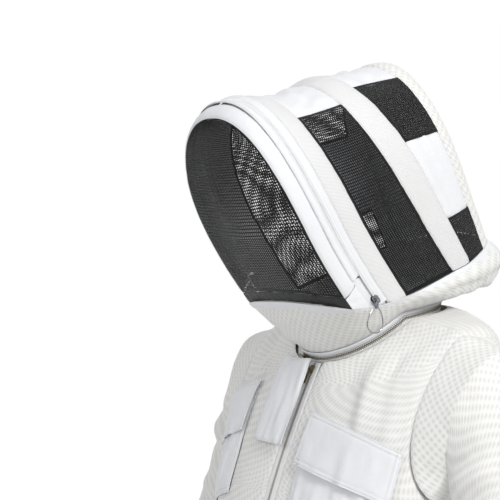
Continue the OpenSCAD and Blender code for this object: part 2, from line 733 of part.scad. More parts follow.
front_panel_left();
front_panel_right();
back_panel();
waist_elastic();
seat_panel();
sleeve_front_left();
sleeve_front_right();
sleeve_back_left();
sleeve_back_right();
cuff_left();
cuff_right();
leg_front_left();
leg_front_right();
leg_back_left();
leg_back_right();
ankle_band_left();
ankle_band_right();
front_zip_left();
front_zip_right();
front_zip_slider();
front_zip_pull();
collar_zip_lower();
collar_zip_upper();
collar_zip_slider();
collar_zip_pull();
chest_pocket_left();
chest_pocket_right();
chest_flap_left();
chest_flap_right();
throat_flap();
hood_collar();
veil_hem();
band_corner_left();
band_corner_right();
band_front();
band_front_rear();
arch_zip_front();
arch_zip_rear();
arch_zip_slider();
arch_zip_link();
arch_zip_ring();
face_veil();
window_side_left();
window_side_right();
top_panel_front();
band_middle();
window_upper_left();
window_upper_right();
side_panel_left();
side_panel_right();
window_lower_left();
window_lower_right();
top_panel_rear();
band_rear();
hood_back_panel();
hoop_front();
hoop_middle();
hoop_rear();
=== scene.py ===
import math

import bpy
import numpy as np
from mathutils import Matrix, Vector


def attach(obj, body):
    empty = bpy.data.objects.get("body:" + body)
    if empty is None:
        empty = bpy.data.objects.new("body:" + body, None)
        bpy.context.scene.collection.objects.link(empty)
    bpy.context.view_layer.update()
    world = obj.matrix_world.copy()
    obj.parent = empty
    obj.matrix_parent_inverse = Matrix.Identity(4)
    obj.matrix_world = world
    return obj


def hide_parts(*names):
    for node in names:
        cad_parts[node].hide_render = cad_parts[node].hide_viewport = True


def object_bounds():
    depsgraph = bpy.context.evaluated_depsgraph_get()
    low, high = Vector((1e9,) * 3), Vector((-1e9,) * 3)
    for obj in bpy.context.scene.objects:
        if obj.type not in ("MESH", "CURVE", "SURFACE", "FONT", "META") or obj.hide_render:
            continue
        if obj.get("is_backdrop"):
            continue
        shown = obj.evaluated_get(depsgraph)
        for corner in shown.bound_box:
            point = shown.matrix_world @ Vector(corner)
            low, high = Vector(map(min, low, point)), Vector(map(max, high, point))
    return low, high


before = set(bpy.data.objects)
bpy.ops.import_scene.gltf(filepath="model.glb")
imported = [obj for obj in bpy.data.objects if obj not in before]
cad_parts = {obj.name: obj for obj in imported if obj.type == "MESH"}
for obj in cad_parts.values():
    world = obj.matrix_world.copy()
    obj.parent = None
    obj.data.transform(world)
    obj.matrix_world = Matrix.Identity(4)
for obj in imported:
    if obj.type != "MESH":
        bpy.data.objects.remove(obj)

CAD_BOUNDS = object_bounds()
MM = 0.001

# ---------------------------------------------------------------- tables of the shape (mm)
BODY = np.array([[102, 14.4, 120, -17, -87, 18, 2.0], [172, 8, 132, -19, -106, 4, 2.3],
                 [224, 6, 138, -35, -126, -32, 2.7], [242, 0, 141, -100, -175, -105, 2.8],
                 [246, 0, 143, -200, -245, -195, 2.6], [241, 2, 144, -300, -310, -300, 2.6],
                 [226, 4, 141, -430, -430, -430, 2.5], [232, 6, 147, -560, -560, -560, 2.5],
                 [240, 8, 158, -700, -700, -700, 2.6]], float)
HOOD = np.array([[132, 122, 176, 44, 304, 2.2], [137, 80, 140, 34, 330, 2.2],
                 [137, 30, 92, 30, 322, 2.0], [132, -62, 16, 32, 314, 1.4],
                 [130, -100, -22, 34, 314, 1.0], [116, -140, -112, 38, 298, 1.0],
                 [98, -165, -142, 42, 290, 1.0]], float)
BASE = np.array([[0, 150, 62], [75, 144, 57], [126, 124, 45], [137, 80, 34], [138, 30, 30],
                 [136, -20, 31], [132, -62, 32], [128, -104, 34], [104, -158, 42],
                 [52, -184, 46], [0, -190, 47]], float)
BASE_AT = np.array([0, 0.13, 0.26, 0.36, 0.46, 0.55, 0.64, 0.72, 0.85, 0.93, 1])
SLEEVE = np.array([[275, -18, -158, 74, 108, 80], [292, -24, -205, 72, 90, 60],
                   [314, -26, -300, 70, 74, 36], [336, -18, -400, 69, 71, 18],
                   [356, 0, -500, 65, 66, 15], [373, 22, -596, 60, 60, 15],
                   [382, 34, -646, 50, 50, 15], [389, 43, -688, 43, 43, 15]], float)
LEG = np.array([[-700.6, 120.5, 119, 12, 161], [-760, 122, 117, 8, 142], [-850, 127, 114, 2, 120],
                [-1000, 136, 104, 0, 106], [-1200, 148, 93, -2, 95], [-1370, 158, 85, 0, 87],
                [-1405, 160, 70, 2, 72], [-1440, 161, 61, 4, 63]], float)
POCKET_L = [[84.0, 2.80], [34.3, 3.71], [82.6, 5.33], [33.1, 5.65]]
FLAP_L = [[84.8, 2.78], [33.5, 3.69], [84.0, 3.92], [34.7, 4.67]]
POCKET_R = [[68.0, 2.18], [33.8, 3.08], [66.9, 4.89], [33.8, 5.25]]
FLAP_R = [[68.8, 2.16], [33.0, 3.06], [69.5, 3.49], [33.8, 4.11]]
ZIP_R, ZIP_F, ZIP_Z = 1500.0, -1321.5, -600.0
RING_R, RING_TILT = 101.7, math.radians(43.6)
RING_C = np.array([0, -14.4, -16.9])
NAPE_BACK, NAPE_RISE = 120.0, 35.0
PITCH = math.radians(27)
ARMHOLE_HALF, ARMHOLE_MID, ARMHOLE_RISE = 30.0, 3.35, 1.35
CLOTH_T, COTTON_T = 3.0, 1.6


# ---------------------------------------------------------------- maths
def smooth_at(tab, v, col):
    c = tab[:, col]
    ext = np.concatenate([[2 * c[0] - c[1]], c, [2 * c[-1] - c[-2]]])
    v = np.asarray(v, float)
    i = np.clip(np.floor(v), 0, len(c) - 2).astype(int)
    t = v - i
    p, q, r, s = ext[i], ext[i + 1], ext[i + 2], ext[i + 3]
    return q + 0.5 * t * ((r - p) + t * ((2 * p - 5 * q + 4 * r - s) + t * (3 * (q - r) + s - p)))


def signed_pow(c, n):
    return np.sign(c) * np.abs(c) ** (2 / n)


def lerp(a, b, t):
    return a + (b - a) * t


def bell(x, width):
    return np.exp(-(x / width) ** 2)


def cosd(a):
    return np.cos(np.radians(a))


def sind(a):
    return np.sin(np.radians(a))


def unit(v):
    v = np.asarray(v, float)
    return v / np.maximum(np.linalg.norm(v, axis=-1, keepdims=True), 1e-9)


def stack(x, y, z):
    x, y, z = np.broadcast_arrays(x, y, z)
    return np.stack([x, y, z], axis=-1).astype(float)


def chest_f(z):
    return ZIP_F + np.sqrt(ZIP_R ** 2 - (z - ZIP_Z) ** 2)


def body(ph, v, d):
    a, c, back, zs, zf, zb, n = [smooth_at(BODY, v, k) for k in range(7)]
    x = (a - d) * signed_pow(cosd(ph), n)
    s = signed_pow(sind(ph), n)
    reach = np.where(s >= 0, chest_f(zf) - c, back)
    z = zs + (np.where(s >= 0, zf, zb) - zs) * np.abs(s) - d * np.maximum(0, 1 - v / 2.6)
    return stack(x, -(c + (reach - d) * s), z)


def angle_at(x, v):
    return np.degrees(np.arccos((x / smooth_at(BODY, v, 0)) ** (smooth_at(BODY, v, 6) / 2)))


def armhole(v):
    k = (v - ARMHOLE_MID) / ARMHOLE_RISE
    return ARMHOLE_HALF * np.sqrt(np.maximum(0, 1 - k * k))


def pitched(x, f, w):
    c, s = math.cos(PITCH), math.sin(PITCH)
    return stack(x, -(f * c + w * s), w * c - f * s)


def hood(u, v, d):
    a, f0, f1, w0, rise, sweep = [smooth_at(HOOD, v, k) for k in range(6)]
    a = a - d
    leg = 0.4 * rise
    ph = np.clip((u - 0.2) / 0.6 * 180, 0, 180)
    x = np.where(u < 0.2, a, np.where(u > 0.8, -a, a * signed_pow(cosd(ph), 2.2)))
    h = np.where(u < 0.2, leg * u / 0.2,
                 np.where(u > 0.8, leg * (1 - u) / 0.2,
                          leg + (rise - leg - d) * signed_pow(sind(ph), 2.2)))
    return pitched(x, f0 + (f1 - f0) * (1 - np.maximum(0, 1 - h / rise) ** sweep), w0 + h)


def base_edge(t):
    v = np.interp(np.abs(t), BASE_AT, np.arange(11))
    return pitched(np.sign(t) * smooth_at(BASE, v, 0), smooth_at(BASE, v, 1), smooth_at(BASE, v, 2))


def collar_frame(ph):
    c, s = cosd(ph), sind(ph)
    ph = np.asarray(ph, float)
    front = s >= 0
    p = stack(RING_R * c,
              np.where(front, RING_C[1] - RING_R * s * math.cos(RING_TILT), RING_C[1] - NAPE_BACK * s),
              np.where(front, RING_C[2] - RING_R * s * math.sin(RING_TILT), RING_C[2] - NAPE_RISE * s))
    k = np.where(front, 0, -s)[..., None]
    up = unit(lerp(np.array([0, -math.sin(RING_TILT), math.cos(RING_TILT)]), np.array([0, 0.36, 0.93]), k))
    flat = stack(RING_R * c, p[..., 1] - RING_C[1], np.zeros_like(c))
    out = np.where(front[..., None], unit(p - RING_C), unit(flat))
    out = unit(out - up * (out * up).sum(-1, keepdims=True))
    return p, up, out


def collar(t, s, d):
    p, up, _ = collar_frame(90 - 180 * t)
    foot, top = p + up * 9, base_edge(t)
    back = np.maximum(0, np.abs(t) - 0.45) / 0.55
    q = lerp(foot, top, s[..., None])
    puff = 4 * s * (1 - s) * (6 + 64 * back)
    flat = unit(stack(q[..., 0], q[..., 1] + 10, 0 * t))
    return q + flat * (puff - d)[..., None]


def sleeve(a, s, d):
    hole = body(ARMHOLE_HALF * cosd(a), ARMHOLE_MID - ARMHOLE_RISE * sind(a), 0)
    edge = hole + stack(4 - 2 * sind(a), 0, 0)
    k = np.maximum(0, s - 1)
    x, f, z, r1, r2, hang = [smooth_at(SLEEVE, k, c) for c in range(6)]
    r1, r2 = r1 - d, r2 - d
    ring = stack(x + r2 * sind(a) * cosd(hang), -(f + r1 * cosd(a)), z + r2 * sind(a) * sind(hang))
    rim = edge - stack(0, edge[..., 1] * d / 75, (edge[..., 2] + 150) * d / 120)
    return np.where((s < 1)[..., None], lerp(rim, ring, np.minimum(s, 1)[..., None]), ring)


def leg(ph, v, d):
    z, cx, a, c, b = [smooth_at(LEG, v, k) for k in range(5)]
    n = np.where(cosd(ph) < 0, lerp(9, 2.4, np.minimum(1, v / 3)), 2.4)
    return stack(cx + (a - d) * signed_pow(cosd(ph), n), -(c + (b - d) * signed_pow(sind(ph), n)), z)


def leg_under_hem(ph, v, d):
    """The leg, drawn in to the line of the trunk's hem at its top."""
    p = leg(ph, v, d)
    half, mid, behind, hem_z, n = (BODY[-1, k] for k in (0, 1, 2, 3, 6))
    edge = (1 - np.minimum(1, np.abs(p[..., 0]) / half) ** n) ** (1 / n)
    ahead = -p[..., 1]
    hem = np.clip(ahead, mid - (behind - d) * edge, mid + (chest_f(hem_z) - mid - d) * edge)
    p[..., 1] = -lerp(ahead, hem, bell(v, 0.8))
    return p


def across(u, s, v, d, bow, lift, inset=2.0):
    l, r = hood(u, v, inset), hood(1 - u, v, inset)
    k, h = 4 * s * (1 - s), u / 0.5
    q = lerp(l, r, s[..., None])
    return q + pitched(0 * u, bow * k * (1 - h * h) - d * np.sign(bow), lift * k * (1 - h) ** 3)


# Smooth lattice noise, the same on every run; answers lie between -1 and 1.
LATTICE = np.random.RandomState(7).rand(32, 32, 32) * 2 - 1


def noise(p, scale, shift=0.0):
    q = np.asarray(p, float) / np.asarray(scale, float) + shift
    i = np.floor(q).astype(int)
    f = q - i
    f = f * f * (3 - 2 * f)
    i = i % 32
    j = (i + 1) % 32
    x0, y0, z0 = i[..., 0], i[..., 1], i[..., 2]
    x1, y1, z1 = j[..., 0], j[..., 1], j[..., 2]
    fx, fy, fz = f[..., 0], f[..., 1], f[..., 2]
    a = lerp(LATTICE[x0, y0, z0], LATTICE[x1, y0, z0], fx)
    b = lerp(LATTICE[x0, y1, z0], LATTICE[x1, y1, z0], fx)
    c = lerp(LATTICE[x0, y0, z1], LATTICE[x1, y0, z1], fx)
    e = lerp(LATTICE[x0, y1, z1], LATTICE[x1, y1, z1], fx)
    return lerp(lerp(a, b, fy), lerp(c, e, fy), fz)


def crease(p, scale, shift=0.0):
    """Ridged noise: sharp at its tops, soft in its valleys."""
    return 1 - 2 * np.abs(noise(p, scale, shift)) ** 0.8


def bump_at(p, a, b, width, sharp=0.35):
    """1 on the line from a to b, falling off over width, with a shallow trough on each side."""
    a, b = np.array(a, float), np.array(b, float)
    t = np.clip(((p - a) @ (b - a)) / ((b - a) @ (b - a)), 0, 1)
    k = np.linalg.norm(p - (a + t[..., None] * (b - a)), axis=-1) / width
    ends = np.sin(np.pi * np.clip(t * 0.86 + 0.07, 0, 1)) ** 0.6
    return (1 - sharp * k * k) * np.exp(-k * k) * ends


# ---------------------------------------------------------------- materials
def new_material(name):
    m = bpy.data.materials.new(name)
    m.use_nodes = True
    nt = m.node_tree
    return m, nt, nt.nodes["Principled BSDF"]


def uv_of(nt, scale=(1, 1), turn=0.0):
    uv = nt.nodes.new("ShaderNodeUVMap")
    mapping = nt.nodes.new("ShaderNodeMapping")
    mapping.inputs["Scale"].default_value = (scale[0], scale[1], 1)
    mapping.inputs["Rotation"].default_value = (0, 0, turn)
    nt.links.new(uv.outputs["UV"], mapping.inputs["Vector"])
    return mapping.outputs["Vector"]


def object_of(nt):
    return nt.nodes.new("ShaderNodeTexCoord").outputs["Object"]


def ramp(nt, source, low, high):
    """Grey scale from low to high, each a pair of place and level."""
    r = nt.nodes.new("ShaderNodeValToRGB")
    for element, (place, level) in zip(r.color_ramp.elements, (low, high)):
        element.position = place
        element.color = (level, level, level, 1)
    nt.links.new(source, r.inputs["Fac"])
    return r.outputs["Color"]


def noise_tex(nt, vector, scale, detail=3.0, rough=0.5):
    n = nt.nodes.new("ShaderNodeTexNoise")
    n.inputs["Scale"].default_value = scale
    n.inputs["Detail"].default_value = detail
    n.inputs["Roughness"].default_value = rough
    nt.links.new(vector, n.inputs["Vector"])
    return n.outputs["Fac"]


def mix_colour(nt, factor, a, b, blend="MIX"):
    m = nt.nodes.new("ShaderNodeMix")
    m.data_type = "RGBA"
    m.blend_type = blend
    if isinstance(factor, (int, float)):
        m.inputs[0].default_value = factor
    else:
        nt.links.new(factor, m.inputs[0])
    for socket, value in ((m.inputs[6], a), (m.inputs[7], b)):
        if isinstance(value, tuple):
            socket.default_value = (*value, 1)
        else:
            nt.links.new(value, socket)
    return m.outputs[2]


def maths(nt, operation, a, b=None):
    m = nt.nodes.new("ShaderNodeMath")
    m.operation = operation
    for socket, value in zip(m.inputs, (a, b)):
        if value is None:
            continue
        if isinstance(value, (int, float)):
            socket.default_value = value
        else:
            nt.links.new(value, socket)
    return m.outputs[0]


def wave(nt, vector, scale, direction):
    w = nt.nodes.new("ShaderNodeTexWave")
    w.bands_direction = direction
    w.inputs["Scale"].default_value = scale
    w.inputs["Distortion"].default_value = 0
    nt.links.new(vector, w.inputs["Vector"])
    return w.outputs["Fac"]


def thread_wave(nt, pitch, direction):
    """Ribs along the cloth's own grain, pitch metres apart."""
    return wave(nt, uv_of(nt), 1 / pitch / 2, direction)


def coat(nt, bsdf, colour=None, rough=None):
    """Link what is given to the surface."""
    if colour is not None:
        nt.links.new(colour, bsdf.inputs["Base Color"])
    if rough is not None:
        nt.links.new(rough, bsdf.inputs["Roughness"])


def bump(nt, bsdf, layers):
    """layers: (height, strength, distance in metres), the broadest first."""
    last = None
    for height, strength, distance in layers:
        b = nt.nodes.new("ShaderNodeBump")
        b.inputs["Strength"].default_value = strength
        b.inputs["Distance"].default_value = distance
        nt.links.new(height, b.inputs["Height"])
        if last is not None:
            nt.links.new(last, b.inputs["Normal"])
        last = b.outputs["Normal"]
    nt.links.new(last, bsdf.inputs["Normal"])


def sheen(bsdf, weight, rough):
    bsdf.inputs["Sheen Weight"].default_value = weight
    bsdf.inputs["Sheen Roughness"].default_value = rough


def ventilated_cloth():
    m, nt, bsdf = new_material("ventilated_cloth")
    pitch = 0.0088
    cells = nt.nodes.new("ShaderNodeTexVoronoi")
    cells.voronoi_dimensions = "2D"
    cells.inputs["Scale"].default_value = 1.0
    cells.inputs["Randomness"].default_value = 0.06
    nt.links.new(uv_of(nt, (1 / pitch, 1 / pitch), math.radians(45)), cells.inputs["Vector"])
    dimple = ramp(nt, cells.outputs["Distance"], (0.10, 0), (0.52, 1))
    patches = noise_tex(nt, object_of(nt), 7.0, 4.0)
    base = mix_colour(nt, patches, (0.790, 0.788, 0.774), (0.845, 0.844, 0.836))
    # Painted shade: the colour is darkened in the hollow of each dimple.
    dimple_shade = mix_colour(nt, dimple, (0.83, 0.828, 0.815), (1.0, 1.0, 1.0))
    coat(nt, bsdf, mix_colour(nt, 1.0, base, dimple_shade, "MULTIPLY"))
    fine = noise_tex(nt, uv_of(nt), 1500.0, 2.0)
    bump(nt, bsdf, [(noise_tex(nt, object_of(nt), 60.0, 3.0), 0.35, 0.0016),
                    (dimple, 0.45, 0.0009), (fine, 0.2, 0.0003)])
    rough = ramp(nt, dimple, (0.0, 0.98), (1.0, 0.82))
    coat(nt, bsdf, rough=rough)
    sheen(bsdf, 0.12, 0.5)
    return m


def cotton_cloth():
    m, nt, bsdf = new_material("cotton")
    warp = thread_wave(nt, 0.0009, "X")
    weft = thread_wave(nt, 0.0009, "Y")
    weave = maths(nt, "MAXIMUM", warp, weft)
    patches = noise_tex(nt, object_of(nt), 9.0, 4.0)
    tint = mix_colour(nt, patches, (0.765, 0.780, 0.812), (0.825, 0.837, 0.860))
    shade = ramp(nt, weave, (0.0, 0.93), (1.0, 1))
    coat(nt, bsdf, mix_colour(nt, 1.0, tint, shade, "MULTIPLY"))
    bump(nt, bsdf, [(noise_tex(nt, object_of(nt), 45.0, 3.0), 0.45, 0.0018),
                    (noise_tex(nt, object_of(nt), 160.0, 2.0), 0.30, 0.0006), (weave, 0.25, 0.0002)])
    rough = ramp(nt, noise_tex(nt, object_of(nt), 30.0, 2.0), (0.3, 0.78), (0.7, 0.9))
    coat(nt, bsdf, rough=rough)
    sheen(bsdf, 0.10, 0.45)
    return m


def ribbed_knit():
    m, nt, bsdf = new_material("ribbed_knit")
    ribs = thread_wave(nt, 0.0034, "X")
    rows = thread_wave(nt, 0.0022, "Y")
    across_rows = maths(nt, "ADD", maths(nt, "MULTIPLY", rows, 0.35), 0.65)
    height = maths(nt, "MULTIPLY", maths(nt, "POWER", ribs, 0.7), across_rows)
    patches = noise_tex(nt, object_of(nt), 9.0, 3.0)
    tint = mix_colour(nt, patches, (0.815, 0.820, 0.824), (0.865, 0.868, 0.872))
    shade = ramp(nt, height, (0.0, 0.84), (0.6, 1))
    coat(nt, bsdf, mix_colour(nt, 1.0, tint, shade, "MULTIPLY"))
    bump(nt, bsdf, [(height, 0.7, 0.0009), (noise_tex(nt, uv_of(nt), 1800.0, 2.0), 0.2, 0.0002)])
    coat(nt, bsdf, rough=ramp(nt, height, (0.0, 0.95), (1.0, 0.8)))
    sheen(bsdf, 0.12, 0.5)
    return m


def veil_net():
    m, nt, bsdf = new_material("black_net")
    patches = noise_tex(nt, object_of(nt), 40.0, 3.0)
    coat(nt, bsdf, mix_colour(nt, patches, (0.004, 0.004, 0.005), (0.016, 0.016, 0.018)))
    twist = thread_wave(nt, 0.0016, "DIAGONAL")
    bump(nt, bsdf, [(twist, 0.8, 0.0004)])
    coat(nt, bsdf, rough=ramp(nt, twist, (0.0, 0.62), (1.0, 0.34)))
    bsdf.inputs["Specular IOR Level"].default_value = 0.22
    return m


def binding():
    m, nt, bsdf = new_material("black_binding")
    weave = maths(nt, "MAXIMUM", thread_wave(nt, 0.0012, "X"), thread_wave(nt, 0.0012, "Y"))
    fade = noise_tex(nt, object_of(nt), 60.0, 3.0)
    coat(nt, bsdf, mix_colour(nt, fade, (0.008, 0.008, 0.009), (0.030, 0.030, 0.032)))
    bump(nt, bsdf, [(noise_tex(nt, object_of(nt), 120.0, 2.0), 0.4, 0.0008), (weave, 0.5, 0.0003)])
    coat(nt, bsdf, rough=ramp(nt, weave, (0.0, 0.85), (1.0, 0.6)))
    sheen(bsdf, 0.1, 0.4)
    return m


def tape_cloth():
    m, nt, bsdf = new_material("zip_tape")
    twill = thread_wave(nt, 0.0013, "DIAGONAL")
    fade = noise_tex(nt, object_of(nt), 25.0, 3.0)
    coat(nt, bsdf, mix_colour(nt, fade, (0.81, 0.82, 0.83), (0.88, 0.88, 0.885)))
    bump(nt, bsdf, [(twill, 0.6, 0.0003)])
    coat(nt, bsdf, rough=ramp(nt, twill, (0.0, 0.85), (1.0, 0.62)))
    sheen(bsdf, 0.08, 0.4)
    return m


def thread():
    m, nt, bsdf = new_material("thread")
    ply = wave(nt, object_of(nt), 900.0, "DIAGONAL")
    # Painted shade: the colour darkens in the valleys between the twisted plies.
    coat(nt, bsdf, mix_colour(nt, ply, (0.66, 0.67, 0.69), (0.80, 0.80, 0.81)))
    bump(nt, bsdf, [(ply, 0.4, 0.0002)])
    bsdf.inputs["Roughness"].default_value = 0.55
    return m


def coil_nylon():
    m, nt, bsdf = new_material("coil_nylon")
    grain = noise_tex(nt, object_of(nt), 400.0, 2.0)
    coat(nt, bsdf, mix_colour(nt, grain, (0.74, 0.75, 0.77), (0.83, 0.83, 0.85)))
    coat(nt, bsdf, rough=ramp(nt, grain, (0.2, 0.28), (0.8, 0.42)))
    bump(nt, bsdf, [(grain, 0.2, 0.0001)])
    return m


def metal(name, dark, light, rough_low, rough_high, scale):
    m, nt, bsdf = new_material(name)
    wear = noise_tex(nt, object_of(nt), scale, 4.0, 0.6)
    fine = noise_tex(nt, object_of(nt), scale * 9, 2.0)
    coat(nt, bsdf, mix_colour(nt, wear, dark, light))
    coat(nt, bsdf, rough=ramp(nt, fine, (0.25, rough_low), (0.75, rough_high)))
    bsdf.inputs["Metallic"].default_value = 1.0
    bump(nt, bsdf, [(wear, 0.15, 0.0003), (fine, 0.12, 0.0001)])
    return m


CLOTH, COTTON, KNIT = ventilated_cloth(), cotton_cloth(), ribbed_knit()
NET, BLACK, TAPE, THREAD, COIL = veil_net(), binding(), tape_cloth(), thread(), coil_nylon()
BRASS = metal("dark_brass", (0.16, 0.13, 0.09), (0.34, 0.28, 0.18), 0.30, 0.50, 350.0)
CHROME = metal("chrome", (0.30, 0.31, 0.33), (0.52, 0.53, 0.56), 0.08, 0.22, 250.0)
STEEL = metal("hoop_steel", (0.38, 0.38, 0.40), (0.58, 0.58, 0.60), 0.25, 0.42, 180.0)


# ---------------------------------------------------------------- mesh building
def make_object(name, verts, faces, uv, mats, face_mats=None, smooth=True):
    """verts in mm, faces an (n, 4) array, uv in metres per vertex or per face corner."""
    me = bpy.data.meshes.new(name)
    me.vertices.add(len(verts))
    me.vertices.foreach_set("co", (np.asarray(verts, float) * MM).ravel())
    faces = np.asarray(faces, int)
    me.loops.add(faces.size)
    me.loops.foreach_set("vertex_index", faces.ravel())
    me.polygons.add(len(faces))
    me.polygons.foreach_set("loop_start", np.arange(0, faces.size, faces.shape[1]))
    me.polygons.foreach_set("loop_total", np.full(len(faces), faces.shape[1]))
    me.update(calc_edges=True)
    layer = me.uv_layers.new(name="UVMap")
    uv = np.asarray(uv, float)
    layer.data.foreach_set("uv", (uv if len(uv) == faces.size else uv[faces.ravel()]).ravel())
    for m in mats:
        me.materials.append(m)
    if face_mats is not None:
        me.polygons.foreach_set("material_index", np.asarray(face_mats, int))
    me.polygons.foreach_set("use_smooth", np.full(len(faces), smooth))
    me.validate()
    me.update()
    ob = bpy.data.objects.new(name, me)
    bpy.context.scene.collection.objects.link(ob)
    return ob


def lengths(p, axis):
    """Distance along an axis of a grid or a path, from its first point."""
    step = np.linalg.norm(np.diff(p, axis=axis), axis=-1)
    pad = [(0, 0)] * step.ndim
    pad[axis] = (1, 0)
    return np.pad(np.cumsum(step, axis=axis), pad)


def between(at, s, q):
    """The points q lie at the distances s along a line; this gives the points at other distances."""
    return np.stack([np.interp(at, s, q[:, c]) for c in range(3)], -1)


def share(dist, a, b):
    """0 on side a of a panel, 1 on side b."""
    return np.clip(dist[a] / (dist[a] + dist[b]).clip(1), 0, 1)


def nearest(dist):
    return np.minimum.reduce([dist[side] for side in "lrbt"])


EDGE_STEPS = np.array([0, 0.8, 2.0, 3.6, 5.8])


def steps(length, cell, fine_a, fine_b, topstitch=()):
    """Places along a side from 0 to 1, closer together at its seams and rows of topstitching."""
    fine = EDGE_STEPS
    for at in topstitch:
        fine = np.concatenate([fine, at + np.array([-1.1, 0, 1.1, 2.4])])
    fine = np.unique(np.round(fine, 1))
    fine = fine[np.concatenate([[True], np.diff(fine) > 0.45])]
    a = fine if fine_a and length > 2.4 * fine[-1] else np.array([0.0])
    b = length - (fine if fine_b and length > 2.4 * fine[-1] else np.array([0.0]))[::-1]
    n = max(1, int(round((b[0] - a[-1]) / cell)))
    return np.concatenate([a[:-1], np.linspace(a[-1], b[0], n + 1), b[1:]]) / length


def grid_normals(p, out, closed):
    du = np.gradient(p, axis=1)
    if closed:
        du[:, 0] = du[:, -1] = p[:, 1] - p[:, -2]
    dv = np.gradient(p, axis=0)
    n = unit(np.cross(du, dv))
    return n * (1 if (n * out).sum(-1).mean() > 0 else -1)


SEAM_DEPTH, SEAM_WIDTH = 1.5, 3.4
PANELS = {}


def panel(name, fn, body_name, nodes, cell=7.0, t=CLOTH_T, mirror=False, closed=False, fold=None,
          seams="lrbt", pins="", mat=None, thick=None, seam_depth=SEAM_DEPTH,
          topstitch=()):
    """Cloth over fn(i, j, d): folds push it along its normal, seams pull it in, pins hold an edge."""
    ii, jj = np.meshgrid(np.linspace(0, 1, 13), np.linspace(0, 1, 13))
    rough = fn(ii, jj, 0.0)
    wide, tall = lengths(rough, 1)[:, -1].max(), lengths(rough, 0)[-1].max()
    us = steps(wide, cell, not closed, not closed, topstitch)
    vs = steps(tall, cell, True, True, topstitch)
    ii, jj = np.meshgrid(us, vs)
    p, q = fn(ii, jj, 0.0), fn(ii, jj, 2.0)
    if mirror:
        p, q = p * [-1, 1, 1], q * [-1, 1, 1]
    n = grid_normals(p, p - q, closed)
    lu, lv = lengths(p, 1), lengths(p, 0)
    dist = {"l": lu, "r": lu[:, -1:] - lu, "b": lv, "t": lv[-1:] - lv}
    h = np.zeros(p.shape[:2])
    if fold is not None:
        h = fold(p, n, dist)
        for side in pins:
            h = h * (1 - bell(dist[side], 16))
    wobble = 1 + 0.35 * noise(p, 9.0, 3.3)
    near = np.full(p.shape[:2], 1e6)
    for side in seams:
        d = dist[side]
        near = np.minimum(near, d)
        h = h - seam_depth * wobble * bell(d, SEAM_WIDTH)
        h = h + 0.30 * bell(d - 9, 7) * noise(p, 5.5, 9.1)
        for at in topstitch:
            h = h - (0.75 + 0.35 * noise(p, 6.0, 4.0)) * bell(d - at, 1.3)
    outer = p + n * h[..., None]
    depth = np.full(p.shape[:2], t) if thick is None else thick(ii, jj, dist)
    depth = depth * (0.42 + 0.58 * (1 - bell(near, 1.5)))
    inner = outer - n * depth[..., None]
    rows, cols = p.shape[:2]
    uv = np.stack([lu - lu[:, cols // 2:cols // 2 + 1], lv], -1).reshape(-1, 2) * MM
    idx = np.arange(rows * cols).reshape(rows, cols)
    a, b, c, d = idx[:-1, :-1], idx[:-1, 1:], idx[1:, 1:], idx[1:, :-1]
    top = np.stack([a, b, c, d], -1).reshape(-1, 4)
    mid = (rows // 2, cols // 2)
    du, dv = outer[mid[0], mid[1] + 1] - outer[mid], outer[mid[0] + 1, mid[1]] - outer[mid]
    if np.cross(du, dv) @ n[mid] < 0:
        top = top[:, ::-1]
    m = rows * cols
    under = top[:, ::-1] + m
    rims = []
    for line, keep in ((idx[0], True), (idx[-1], True), (idx[:, 0], not closed), (idx[:, -1], not closed)):
        if keep:
            rims.append(np.stack([line[:-1], line[1:], line[1:] + m, line[:-1] + m], -1))
    rim = np.concatenate(rims)
    verts = np.concatenate([outer.reshape(-1, 3), inner.reshape(-1, 3)])
    # A rim quad must run against the top face that shares its edge.
    directed = set()
    for k in range(4):
        directed.update(zip(top[:, k].tolist(), top[:, (k + 1) % 4].tolist()))
    rim = np.array([f if (int(f[0]), int(f[1])) not in directed else f[::-1] for f in rim])
    faces = np.concatenate([top, under, rim])
    corner_uv = np.concatenate([uv, uv])[faces.ravel()]
    if closed:
        # The last column lies on the first, so the tube is welded there.
        weld = np.arange(2 * m).reshape(2 * rows, cols)
        weld[:, -1] = weld[:, 0]
        faces = weld.ravel()[faces]
        used, faces = np.unique(faces, return_inverse=True)
        verts, faces = verts[used], faces.reshape(-1, 4)
    ob = make_object(name + "_cloth", verts, faces, corner_uv, [mat or CLOTH])
    if nodes:
        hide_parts(*nodes)
    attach(ob, body_name)
    PANELS[name] = dict(p=outer, n=n, dist=dist, body=body_name, ob=ob)
    return ob


STITCH_LINES = {}


def sew(name, side, offset, start=0.0, stop=1.0):
    """A row of stitches at a distance in from one side of a panel."""
    g = PANELS[name]
    p, n, d = g["p"], g["n"], g["dist"][side]
    if side in "bt":
        p, n, d = p.transpose(1, 0, 2), n.transpose(1, 0, 2), d.T
    rows = d.shape[0]
    pts, nrm = [], []
    for k in range(int(start * (rows - 1)), int(stop * (rows - 1)) + 1):
        order = np.argsort(d[k])
        s = d[k][order]
        pts.append(between(offset, s, p[k][order]))
        nrm.append(between(offset, s, n[k][order]))
    STITCH_LINES.setdefault(g["body"], []).append((np.array(pts), unit(np.array(nrm))))


def sew_all(name, sides, *offsets):
    for side in sides:
        for offset in offsets:
            sew(name, side, offset)


